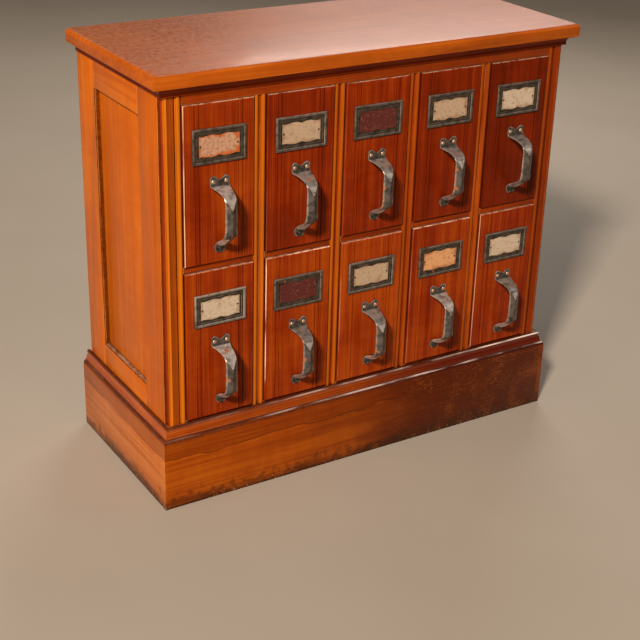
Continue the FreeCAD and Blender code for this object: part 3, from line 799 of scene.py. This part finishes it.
# %% Drawer fronts
for tag in TAGS:
    node = "drawer_front_" + tag
    low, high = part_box(node)
    bm = open_copy(node)
    beads = bead_edges(bm, low, high)
    soften(bm, BEAD_ROUND, beads, segments=3)
    soften(bm, ARRIS, arris_edges(bm, low, high), segments=3)
    for point, normal in (((low.x + WORN_STRIP, 0, 0), (1, 0, 0)),
                          ((high.x - WORN_STRIP, 0, 0), (1, 0, 0)),
                          ((0, 0, high.z - WORN_STRIP), (0, 0, 1)),
                          ((0, low.y + WORN_STRIP + SLACK, 0), (0, 1, 0)),
                          ((0, low.y + WORN_TOP + SLACK, 0), (0, 1, 0))):
        cut_through(bm, point, normal)
    wear_and_highlight = bm.verts.layers.float["wear_and_highlight"]
    left_wear, top_wear, right_wear = EDGE_WEAR[tag]
    for vert in bm.verts:
        edges_near = [(vert.co.x - low.x, WORN_STRIP, left_wear),
                      (high.z - vert.co.z, WORN_TOP, top_wear),
                      (high.x - vert.co.x, WORN_STRIP, right_wear)]
        vert[wear_and_highlight] = max([wear for inset, depth, wear in edges_near
                          if vert.co.y < low.y + depth and inset < WORN_STRIP - SLACK] + [0])
    # The left bead takes more of the orange than the right one: partly polish, partly a painted
    # highlight from the light on the left.
    middle_of_bead = BEAD_INSET + BEAD_WIDTH / 2
    mark_crest_polish_and_highlight(bm, CREST_FALL, [(low.x + middle_of_bead, CREST_HALF, 0.4),
                                   (high.x - middle_of_bead, CREST_HALF, 0.2)])
    lay_grain(bm, node, FRONT_TONE[tag], 0.02, along=2)
    put(bm, "dressed_" + node, "drawer_" + tag, front_pine, "front_wood", node)
print("fronts:", len(TAGS), "bead edges each:", len(beads))


# %% [markdown]
# ## Drawer boxes
# Behind each front is a plain box of bare boards. It shows only when the drawer is pulled out.
# The boards are cubes scaled to size, with the same small rounding.


# %% Drawer boxes
def board(low, high):
    """A board that fills the space between two corners."""
    bm = bmesh.new()
    size = Vector(high) - Vector(low)
    middle = (Vector(high) + Vector(low)) / 2
    bmesh.ops.create_cube(bm, size=1.0)
    bmesh.ops.scale(bm, verts=bm.verts, vec=size)
    bmesh.ops.translate(bm, verts=bm.verts, vec=middle)
    return bm


BOX_SIDE = 10.0 * MM
BOX_BACK = 10.0 * MM
BOX_BOTTOM = 6.0 * MM
BOTTOM_LIFT = 5.0 * MM
BACK_DROP = 12.0 * MM
for tag in TAGS:
    node = "drawer_box_" + tag
    low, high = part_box(node)
    inner_left, inner_right = low.x + BOX_SIDE, high.x - BOX_SIDE
    floor_low, floor_high = low.z + BOTTOM_LIFT, low.z + BOTTOM_LIFT + BOX_BOTTOM
    bm = joined([
        board(low, (inner_left, high.y, high.z)),
        board((inner_right, low.y, low.z), high),
        board((inner_left, high.y - BOX_BACK, floor_high),
              (inner_right, high.y, high.z - BACK_DROP)),
        board((inner_left, low.y, floor_low), (inner_right, high.y, floor_high)),
    ])
    soften(bm, 0.5 * MM)
    lay_grain(bm, node, 0.45, 0.15)
    put(bm, "dressed_" + node, "drawer_" + tag, inner_pine, "inner_wood", node)
print("drawer boxes:", len(TAGS), "of four boards each")

# %% [markdown]
# The runners and guides stay as the model has them. They are deep inside, so they only need
# bare wood. Their meshes have no grain attribute, so this material reads Object coordinates,
# with the fibres along the runners.

# %% Runner wood
material, tree = new_material("bare_runner_pine")
place = add(tree, "TexCoord", output="Object")
along = add(tree, "Mapping", None, {"Vector": place, "Scale": (1, 0.03, 1)})
fibre = add(tree, "TexNoise", None, {"Vector": along, "Scale": 160.0, "Detail": 3.0})
runner_colour = add(tree, "Mix", {"data_type": "RGBA"},
                    {0: fibre, 6: paint("#8A6238"), 7: paint("#BC9464")}, 2)
bump = add(tree, "Bump", None, {"Strength": 0.3, "Distance": 0.4 * MM, "Height": fibre})
shader = add(tree, "BsdfPrincipled", None,
             {"Base Color": runner_colour, "Roughness": 0.7, "Normal": bump})
add(tree, "OutputMaterial", None, {"Surface": shader})
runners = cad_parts["drawer_runners"]
runners.data.materials.clear()
runners.data.materials.append(material)
print(runners.name, "in", material.name)

# %% [markdown]
# ## Tarnished steel
# The holders and pulls are mild steel sheet, pressed or bent, with a copper wash that has nearly
# gone. What is left is grey-brown metal with darker hollows, copper-coloured spots and bright
# rubbed places. The darker hollows are partly oil and dirt and partly painted shade, and some
# bright places are painted highlights on faces towards the light. Attributes say where it is
# rubbed and where it gets a painted highlight, where a cut rim shines, where copper is left, and
# where oil and painted shade darken it, and noise breaks all of them up. The pits of a real sheet
# are finer than the picture shows, so they are drawn 1.4 mm wide.


# %% Tarnished steel
def tarnished_steel(name, dark, middle, bright, copper, copper_share, rough, metal):
    material, tree = new_material(name)
    place = add(tree, "TexCoord", output="Object")
    rub_and_highlight = add(tree, "Attribute", {"attribute_name": "rub_and_highlight"}, None, "Fac")
    oil_and_shade = add(tree, "Attribute", {"attribute_name": "oil_and_shade"}, None, "Fac")
    coppery = add(tree, "Attribute", {"attribute_name": "coppery"}, None, "Fac")
    cloud = add(tree, "TexNoise", None, {"Vector": place, "Scale": 110.0, "Detail": 4.0})
    pits = add(tree, "TexNoise", None, {"Vector": place, "Scale": 700.0, "Detail": 3.0})
    mottle = add(tree, "Math", {"operation": "MULTIPLY_ADD"}, {0: pits, 1: 0.35, 2: cloud})
    to_middle = add(tree, "MapRange", None, {0: mottle, 1: 0.48, 2: 0.90})
    colour = add(tree, "Mix", {"data_type": "RGBA"},
                 {0: to_middle, 6: paint(dark), 7: paint(middle)}, 2)
    rub_and_highlight_mask = add(tree, "MapRange", {"interpolation_type": "SMOOTHSTEP"},
              {0: mottle, 1: 0.46, 2: 0.76, 3: 0.35})
    rim = add(tree, "Attribute", {"attribute_name": "rim"}, None, "Fac")
    rim = add(tree, "MapRange", None, {0: rim, 1: 0.6, 2: 0.95, 4: 0.6})
    rub_and_highlight = add(tree, "Math", {"operation": "MAXIMUM"}, {0: rub_and_highlight, 1: rim})
    bare_and_highlight = add(tree, "Math", {"operation": "MULTIPLY"}, {0: rub_and_highlight, 1: rub_and_highlight_mask})
    colour = add(tree, "Mix", {"data_type": "RGBA"}, {0: bare_and_highlight, 6: colour, 7: paint(bright)}, 2)
    spots = add(tree, "TexNoise", None, {"Vector": place, "Scale": 90.0, "Detail": 2.0})
    spots = add(tree, "Math", {"operation": "MULTIPLY_ADD"}, {0: coppery, 1: 0.285, 2: spots})
    spots = add(tree, "MapRange", {"interpolation_type": "SMOOTHSTEP"},
                {0: spots, 1: copper_share, 2: copper_share + 0.08, 4: 0.9})
    colour = add(tree, "Mix", {"data_type": "RGBA"}, {0: spots, 6: colour, 7: paint(copper)}, 2)

    # Oil, dirt and painted shade: an ambient occlusion node darkens the hollows towards black, and
    # a mark darkens the arm's flank that faces away from the light, and the tab
    open_share = add(tree, "AmbientOcclusion", {"samples": 8}, {"Distance": 5 * MM}, "AO")
    oil_and_shade_mix = add(tree, "MapRange", {"interpolation_type": "SMOOTHSTEP"},
               {0: open_share, 1: 0.8, 2: 0.35, 4: 0.8})
    oil_and_shade_mix = add(tree, "Math", {"operation": "MAXIMUM"}, {0: oil_and_shade_mix, 1: oil_and_shade})
    colour = add(tree, "Mix", {"data_type": "RGBA"}, {0: oil_and_shade_mix, 6: colour, 7: paint("#14100C")}, 2)
    roughness = add(tree, "MapRange", None, {0: bare_and_highlight, 3: rough, 4: rough - 0.12})
    bump = add(tree, "Bump", None, {"Strength": 0.35, "Distance": 0.25 * MM, "Height": mottle})
    shader = add(tree, "BsdfPrincipled", None,
                 {"Base Color": colour, "Metallic": metal, "Roughness": roughness, "Normal": bump})
    add(tree, "OutputMaterial", None, {"Surface": shader})
    return material


holder_steel = tarnished_steel("tarnished_pressed_steel", "#2C241C", "#5C4E40", "#C4B4A4",
                               "#A0613C", 0.68, 0.44, 0.55)
pull_steel = tarnished_steel("tarnished_strap_steel", "#1C1712", "#584E44", "#D0C2B8",
                             "#BC7A52", 0.70, 0.42, 0.5)
print("steel:", holder_steel.name, pull_steel.name)

# %% [markdown]
# The nails of the pulls' plates have brass heads, rubbed bright, under a thin brown film whose
# spots are drawn 1.7 mm wide.

# %% Brass nail heads
material, tree = new_material("brass_nail_head")
place = add(tree, "TexCoord", output="Object")
film = add(tree, "TexNoise", None, {"Vector": place, "Scale": 600.0, "Detail": 2.0})
brass_colour = add(tree, "Mix", {"data_type": "RGBA"},
                   {0: film, 6: paint("#C8946C"), 7: paint("#F4D0B4")}, 2)
shader = add(tree, "BsdfPrincipled", None,
             {"Base Color": brass_colour, "Metallic": 0.8, "Roughness": 0.35})
add(tree, "OutputMaterial", None, {"Surface": shader})
brass = material
print("nails:", brass.name)


# %% [markdown]
# A nail head is a ball, flattened towards the front. Half of it is sunk in what it holds.


# %% Nail head
def dome(bm, centre, radius, rise):
    """Adds a nail head that stands out by rise."""
    made = bmesh.ops.create_uvsphere(bm, u_segments=20, v_segments=10, radius=radius)["verts"]
    bmesh.ops.scale(bm, verts=made, vec=(1, rise / radius, 1))
    bmesh.ops.translate(bm, verts=made, vec=centre)


# %% [markdown]
# ## Label holders
# A holder is one piece of sheet, pressed with a raised rim, a trough, an inner bead and a
# window whose long edges rise to two crowns. Insetting one face again and again, each time with
# a depth, is the same work as the press does, so the profile below is a list of steps inwards
# and outwards, in millimetres.

# %% Pressed sheet
PRESSING = [(0.3, 2.1), (0.5, 0.8), (1.2, 0.3), (1.2, -0.2), (0.9, -0.8), (0.4, -0.8), (1.2, -0.1),
            (0.7, 0.4), (0.8, 0.1), (0.7, -0.4)]
LIP = (0.8, -0.4)
SHEET = 0.4 * MM
WINDOW_HALF = 32.8
WINDOW_CUTS = 40
SCALLOP = [(0, 14.0), (3.2, 15.4), (9, 16.6), (14, 16.8), (20, 15.9), (26, 14.9), (30, 14.9),
           (WINDOW_HALF, 16.0)]


def crown(x):
    """Half height of the window at a place along it, eased from one point to the next."""
    x = min(abs(x), WINDOW_HALF)
    for (x1, z1), (x2, z2) in zip(SCALLOP, SCALLOP[1:]):
        if x <= x2:
            share = (x - x1) / (x2 - x1)
            if x1 > 0:
                share = share * share * (3 - 2 * share)
            return z1 + (z2 - z1) * share


def holder_shape(middle, half_width, half_height, back_y):
    """The pressed sheet, as one open skin with its window cut."""
    bm = bmesh.new()
    made = bmesh.ops.create_grid(bm, x_segments=1, y_segments=1, size=1.0)["verts"]
    bmesh.ops.scale(bm, verts=made, vec=(half_width, half_height, 1))
    bmesh.ops.rotate(bm, verts=made, matrix=Matrix.Rotation(math.radians(90), 3, "X"))
    bmesh.ops.translate(bm, verts=made, vec=(middle.x, back_y, middle.z))
    bm.normal_update()
    window = bm.faces[:][0]
    if window.normal.y > 0:
        bmesh.ops.reverse_faces(bm, faces=[window])
    for inward, outward in PRESSING:
        bmesh.ops.inset_region(bm, faces=[window], thickness=inward * MM, depth=outward * MM,
                               use_boundary=True, use_even_offset=True)
    bmesh.ops.inset_region(bm, faces=[window], thickness=LIP[0] * MM, depth=LIP[1] * MM,
                           use_even_offset=True)
    long_edges = [e for e in window.edges
                  if abs(e.verts[0].co.z - e.verts[1].co.z) < 0.1 * MM]
    bmesh.ops.bisect_edges(bm, edges=long_edges, cuts=WINDOW_CUTS)
    rim = list(window.verts)
    reach = max(v.co.x for v in rim) - middle.x
    for vert in rim:
        x = WINDOW_HALF * (vert.co.x - middle.x) / reach
        up = 1 if vert.co.z > middle.z else -1
        vert.co.x = middle.x + x * MM
        vert.co.z = middle.z + up * crown(x) * MM
    bmesh.ops.delete(bm, geom=[window], context="FACES")
    return bm


# %% [markdown]
# The skin is the outer face of the sheet, and a Solidify modifier gives it its thickness towards
# the wood. The arris of the rim is brightened, partly as rubbing and partly as a painted highlight
# where it faces the light, except along its foot, and a number for each drawer says how much.

# %% Label holders
HOLDER_SHINE = {"r1c1": 1.3, "r2c1": 0.4, "r1c3": 0.65, "r2c2": 0.65}
USUAL_SHINE = 0.45
ARRIS_OUT, ARRIS_HALF = 2.5, 0.5
RIM_OUT = 1.75
RIM_SHARE = 0.3
DULL_FOOT = 3 * MM
for tag in TAGS:
    node = "label_holder_" + tag
    low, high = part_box(node)
    middle = (low + high) / 2
    bm = holder_shape(middle, (high.x - low.x) / 2, (high.z - low.z) / 2, high.y)
    rub_and_highlight = bm.verts.layers.float.new("rub_and_highlight")
    for vert in bm.verts:
        out = (high.y - vert.co.y) / MM
        # The arris is brightened except along its foot, which faces away from the light: partly
        # rubbing, partly a painted highlight.
        on_arris = abs(out - ARRIS_OUT) < ARRIS_HALF and vert.co.z > low.z + DULL_FOOT
        share = 1.0 if on_arris else RIM_SHARE if out > RIM_OUT else 0.0
        vert[rub_and_highlight] = HOLDER_SHINE.get(tag, USUAL_SHINE) * share
    holder = put(bm, "dressed_" + node, "drawer_" + tag, holder_steel, "holder_steel", node)
    sheet = holder.modifiers.new("sheet", "SOLIDIFY")
    sheet.thickness = SHEET
    sheet.offset = -1
print("holder faces:", len(holder.data.polygons))

# %% [markdown]
# ## Cards
# Behind each window lies a card of old paper, brown and stained from the steel round it. The
# colours of each card are its own: the paper, the stain that creeps in from its edges, and the
# specks, which are drawn 4 mm wide, with finer ones inside them.


# %% Old paper
def old_paper(name, paper, stain, spot, spot_share=0.62):
    """Calendered card, foxed: soft stains at two scales and fine specks."""
    material, tree = new_material(name)
    place = add(tree, "TexCoord", output="Object")
    rim = add(tree, "Attribute", {"attribute_name": "rim"}, None, "Fac")
    cloud = add(tree, "TexNoise", None, {"Vector": place, "Scale": 75.0, "Detail": 4.0})
    creep = add(tree, "Math", {"operation": "MULTIPLY_ADD"}, {0: rim, 1: 0.35, 2: cloud})
    creep = add(tree, "MapRange", {"interpolation_type": "SMOOTHSTEP"},
                {0: creep, 1: 0.55, 2: 0.78})
    colour = add(tree, "Mix", {"data_type": "RGBA"},
                 {0: creep, 6: paint(paper), 7: paint(stain)}, 2)
    specks = add(tree, "TexNoise", None, {"Vector": place, "Scale": 240.0, "Detail": 6.0})
    specks = add(tree, "MapRange", None,
                 {0: specks, 1: spot_share - 0.1, 2: spot_share + 0.15, 4: 0.6})
    colour = add(tree, "Mix", {"data_type": "RGBA"}, {0: specks, 6: colour, 7: paint(spot)}, 2)
    bump = add(tree, "Bump", None, {"Strength": 0.2, "Distance": 0.2 * MM, "Height": cloud})
    shader = add(tree, "BsdfPrincipled", None,
                 {"Base Color": colour, "Roughness": 0.8, "Normal": bump})
    add(tree, "OutputMaterial", None, {"Surface": shader})
    return material


beige = old_paper("foxed_beige_card", "#C8B096", "#AC8E70", "#80664E")
pinkish = old_paper("foxed_tan_card", "#B99A7C", "#A07E60", "#74563E")
rusty = old_paper("rust_stained_card", "#C09272", "#C2601C", "#8A4018", 0.56)
orange = old_paper("orange_stained_card", "#DC9C66", "#A86C40", "#6E4A44", 0.60)
empty = old_paper("bare_dark_ground", "#54150A", "#5E1C0C", "#9C6A52", 0.66)

# %% [markdown]
# Two holders have lost their cards and show a dark red-brown ground. A card is a thin board with
# a second outline inside its front, so that the stain has a place to start from and to end. A
# small nail on each side holds card and holder.

# %% Cards
CARD_OF = {"r1c1": beige, "r1c2": empty, "r1c3": pinkish, "r1c4": orange, "r1c5": beige,
           "r2c1": rusty, "r2c2": pinkish, "r2c3": empty, "r2c4": pinkish, "r2c5": beige}
CARD_THICK = 0.5 * MM
CARD_MARGIN = 2.0 * MM
CARD_HALF_HEIGHT = 19.0 * MM
STAIN_RUN = 9 * MM
CARD_NAIL_X = 30.0 * MM
CARD_NAIL_RADIUS, CARD_NAIL_RISE = 1.6 * MM, 0.7 * MM
for tag in TAGS:
    low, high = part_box("label_holder_" + tag)
    middle = (low + high) / 2
    half = Vector((WINDOW_HALF * MM + CARD_MARGIN, 0, CARD_HALF_HEIGHT))
    bm = board((middle.x - half.x, high.y - CARD_THICK, middle.z - half.z),
               (middle.x + half.x, high.y, middle.z + half.z))
    front = [f for f in bm.faces if f.normal.y < -0.9]
    bmesh.ops.inset_region(bm, faces=front, thickness=STAIN_RUN, use_even_offset=True)
    rim = bm.verts.layers.float.new("rim")
    for vert in bm.verts:
        inset = min(half.x - abs(vert.co.x - middle.x), half.z - abs(vert.co.z - middle.z))
        vert[rim] = 1.0 if inset < 1 * MM else 0.0
    put(bm, "card_" + tag, "drawer_" + tag, CARD_OF[tag], "holder_steel")
    nails = bmesh.new()
    for side in (-1, 1):
        dome(nails, (middle.x + side * CARD_NAIL_X, high.y - CARD_THICK, middle.z),
             CARD_NAIL_RADIUS, CARD_NAIL_RISE)
    nails.verts.layers.float.new("rub_and_highlight")
    put(nails, "card_nails_" + tag, "drawer_" + tag, holder_steel, "holder_steel")
print("cards:", len(CARD_OF))

# %% [markdown]
# ## Pulls
# A pull is one strap of 2 mm steel. At the top it is a flat plate with two lobes and two nails.
# There it is bent sharply outwards as a flat neck. From the point downwards its two sides are
# folded back, so that a ridge runs down the grip. The arm below the elbow keeps these folds while
# it turns back to the wood, and the strap ends in a flat round tab with one nail. The strap could
# be lofted, but a strip that is extruded row by row and then subdivided gives the same soft bends
# with a few numbers, and creases keep the fold lines sharp. Each row says how far it stands out,
# its height, its half width, how wide its flat middle is and how far its edges are folded back,
# in millimetres.

# %% Rows of the strap
GAUGE = 2.0
STRAP = [  # out, height, half width, half of the flat, fold back
    (2.0, 113.5, 15.4, 12.6, 0.0), (2.0, 109.5, 15.4, 12.6, 0.0), (2.0, 106.4, 15.4, 12.6, 0.0),
    (2.3, 105.3, 15.4, 12.6, 0.0), (4.2, 104.6, 15.0, 12.3, 0.0), (11.0, 103.7, 12.8, 10.8, 0.0),
    (19.5, 102.2, 11.0, 9.5, 0.0), (27.5, 99.8, 10.0, 8.9, 0.0), (33.6, 96.2, 9.4, 8.4, 0.2),
    (37.8, 91.0, 9.3, 7.4, 1.2), (40.6, 85.6, 9.4, 3.8, 3.4), (42.0, 80.0, 9.5, 0.7, 5.0),
    (42.5, 70.5, 9.5, 0.6, 5.6), (42.5, 60.5, 9.5, 0.6, 5.8), (42.4, 51.5, 9.5, 0.8, 5.6),
    (41.6, 44.0, 9.8, 1.0, 4.8), (39.4, 37.0, 10.6, 1.2, 3.2), (35.0, 31.2, 10.2, 1.6, 2.8),
    (30.0, 26.4, 8.2, 2.0, 4.6), (24.4, 21.6, 7.8, 2.2, 6.0), (18.0, 17.4, 7.6, 2.4, 6.4),
    (11.6, 14.2, 7.8, 3.0, 6.2), (6.0, 12.6, 8.2, 4.6, 4.4), (2.4, 11.8, 8.8, 6.6, 1.2),
    (2.0, 9.0, 9.2, 7.0, 0.0), (2.0, 4.4, 8.4, 5.8, 0.0), (2.0, 0.8, 5.2, 3.4, 0.0),
]
LOBES = (115.0, 120.0, 119.4, 110.6, 119.4, 120.0, 115.0)
NECK = range(5, 10)
POINT = range(10, 12)
ARM = range(18, 23)
FOLD_ROWS = range(9, 22)
ELBOW = 17
PLATE_BEND = 4
FOOT_BEND = 24
print("rows:", len(STRAP), "from %.1f mm down" % STRAP[0][1])

# %% [markdown]
# The pulls were bent by hand and each has its own wear. So numbers for each drawer say how far
# the tab sits above the lowest one, how bright the neck and the arm are rubbed, and at which row
# and place across the strap the copper wash is left. The arm's brightness lies on its flank
# towards the light, so it is partly a painted highlight.

# %% Wear of each pull
ARM_SHINE = {"r1c1": 0.9, "r1c3": 1.1, "r1c4": 1.6, "r1c5": 1.1, "r2c1": 0.9}
NECK_SHINE = {"r1c1": 1.0, "r1c2": 0.4, "r1c3": 0.5, "r1c4": 0.8, "r1c5": 0.45,
              "r2c1": 0.9, "r2c2": 0.5, "r2c3": 0.5, "r2c4": 0.45, "r2c5": 0.4}
FOOT_LIFT = {"r1c1": 4.0, "r1c3": 5.0, "r1c5": 1.0, "r2c1": 0.0, "r2c2": 0.5, "r2c3": 3.6,
             "r2c5": 4.0}
USUAL_LIFT = 3.0
LIFTED_WITHIN = 40.0
USUAL_ARM_SHINE = 0.6
COPPER_LEFT = 1.6
COPPER = {  # row counted down from the lobes, place counted from the left
    "r2c1": [(12, 3), (17, 3)], "r2c2": [(8, 3), (27, 3)],
    "r2c3": [(8, 3), (13, 0), (15, 0), (17, 0), (27, 2)],
    "r2c4": [(8, 3), (12, 0), (14, 0), (16, 0), (18, 0)], "r2c5": [(15, 2), (16, 3)],
    "r1c1": [(7, 3), (14, 0)], "r1c2": [(14, 0)],
    "r1c3": [(8, 3), (12, 0), (14, 0), (16, 0), (18, 1)],
    "r1c4": [(15, 2), (18, 1)], "r1c5": [(8, 3), (13, 0), (15, 0), (18, 1)]}


# %% [markdown]
# A row of seven vertices is extruded along the strap and moved to each station. The folded edges
# go back at right angles to the strap's run there, as they do when a strip is folded first and
# bent later. Marks for rubbing and painted highlight, copper, oil and painted shade, and the cut
# rim are set on the same rows.


# %% Strap
def strap_row(wide, flat, fold):
    """Where the seven vertices across the strap are, and how far each is folded back."""
    return [(-wide, fold), (-flat, 0), (-flat * 0.6, 0), (0, 0), (flat * 0.6, 0), (flat, 0),
            (wide, fold)]


def strap_shape(origin, tag):
    """The strip, extruded from the plate's lobes down to the foot. Its origin is the foot's
    lowest point on the wood."""
    bm = bmesh.new()
    crease = bm.edges.layers.float.new("crease_edge")
    rub_and_highlight = bm.faces.layers.float.new("rub_and_highlight")
    coppery = bm.verts.layers.float.new("coppery")
    rim = bm.verts.layers.float.new("rim")
    oil_and_shade = bm.faces.layers.float.new("oil_and_shade")
    rows = []
    first = []
    for (x, _), z in zip(strap_row(*STRAP[0][2:]), LOBES):
        first.append(bm.verts.new(origin + Vector((x, -GAUGE, z)) * MM))
    edges = [bm.edges.new((a, b)) for a, b in zip(first, first[1:])]
    rows.append(first)
    for number, station in enumerate(STRAP):
        grown = bmesh.ops.extrude_edge_only(bm, edges=edges)["geom"]
        verts = sorted((g for g in grown if isinstance(g, bmesh.types.BMVert)),
                       key=lambda v: v.co.x)
        edges = [g for g in grown if isinstance(g, bmesh.types.BMEdge)
                 and all(v in verts for v in g.verts)]
        out, height, *across = station
        before, after = STRAP[max(number - 1, 0)], STRAP[min(number + 1, len(STRAP) - 1)]
        run = Vector((0, after[0] - before[0], after[1] - before[1])).normalized()
        inward = Vector((0, -run.z, -run.y))
        if inward.y < 0:
            inward = -inward
        if number >= ELBOW:
            height += FOOT_LIFT.get(tag, USUAL_LIFT) * max(0.0, 1 - out / LIFTED_WITHIN)
        for vert, (x, fold) in zip(verts, strap_row(*across)):
            vert.co = origin + Vector((x, -out, height)) * MM + inward * fold * MM
        rows.append(verts)
    for number in FOLD_ROWS:
        for column, sharpness in ((1, 0.7), (3, 0.5), (5, 0.7)):
            bm.edges.get((rows[number][column], rows[number + 1][column]))[crease] = sharpness
    for number in (PLATE_BEND, FOOT_BEND):
        for column in range(6):
            bm.edges.get((rows[number][column], rows[number][column + 1]))[crease] = 1.0
    where = {vert: (number, column) for number, row in enumerate(rows)
             for column, vert in enumerate(row)}
    for vert, (number, column) in where.items():
        vert[rim] = 1.0 if column in (0, 6) or number in (0, len(rows) - 1) else 0.0
        vert[coppery] = COPPER_LEFT if (number, column) in COPPER[tag] else 0.0
    for face in bm.faces:
        number = min(where[v][0] for v in face.verts)
        column = min(where[v][1] for v in face.verts)
        flank = column in (0, 5)
        # The point and the arm's left flank, which faces the light, are brightened, partly as
        # rubbing and partly as a painted highlight; the arm's right flank, which faces away, is
        # darkened as painted shade.
        face[rub_and_highlight] = 0.1
        if number in NECK:
            face[rub_and_highlight] = NECK_SHINE[tag]
        elif number in POINT and not flank:
            face[rub_and_highlight] = 1.0
        elif number in ARM and column == 0:
            face[rub_and_highlight] = ARM_SHINE.get(tag, USUAL_ARM_SHINE)
        elif number in ARM and column == 5:
            face[oil_and_shade] = 0.8
        elif number > FOOT_BEND and not flank:
            face[oil_and_shade] = 0.6
    return bm


# %% [markdown]
# Each strap is placed on its drawer and finished by three modifiers: subdivision for the soft
# bends, a thickness of 2 mm, and rounded rims. Then come two brass nails on the plate and a steel
# one on the tab.

# %% Pulls
LOBE_X = 10.6
PLATE_NAIL_Z = 110.84
PLATE_NAIL_RADIUS, PLATE_NAIL_RISE = 3.3 * MM, 1.6 * MM
FOOT_NAIL_Z = 6.2
FOOT_NAIL_RADIUS, FOOT_NAIL_RISE = 2.3 * MM, 1.4 * MM
RIM_ROUND = 0.5 * MM
for tag in TAGS:
    node = "pull_" + tag
    low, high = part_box(node)
    origin = Vector(((low.x + high.x) / 2, high.y, low.z))
    bm = strap_shape(origin, tag)
    if bm.faces[:][0].normal.y > 0:
        bmesh.ops.reverse_faces(bm, faces=bm.faces)
    pull = put(bm, "dressed_" + node, "drawer_" + tag, pull_steel, "pull_steel", node)
    for polygon_edge in pull.data.edges:
        polygon_edge.use_edge_sharp = False
    soft = pull.modifiers.new("bends", "SUBSURF")
    soft.levels = soft.render_levels = 2
    sheet = pull.modifiers.new("sheet", "SOLIDIFY")
    sheet.thickness = GAUGE * MM
    sheet.offset = -1
    rims = pull.modifiers.new("rims", "BEVEL")
    rims.width = RIM_ROUND
    rims.segments = 2
    rims.limit_method = "ANGLE"
    rims.angle_limit = math.radians(50)
    nails = bmesh.new()
    for x in (-LOBE_X, LOBE_X):
        dome(nails, origin + Vector((x, -GAUGE, PLATE_NAIL_Z)) * MM,
             PLATE_NAIL_RADIUS, PLATE_NAIL_RISE)
    put(nails, "pull_nails_" + tag, "drawer_" + tag, brass, "pull_steel")
    nail = bmesh.new()
    dome(nail, origin + Vector((0, -GAUGE, FOOT_NAIL_Z)) * MM, FOOT_NAIL_RADIUS, FOOT_NAIL_RISE)
    put(nail, "foot_nail_" + tag, "drawer_" + tag, holder_steel, "pull_steel")
print("pull cage faces:", len(pull.data.polygons))
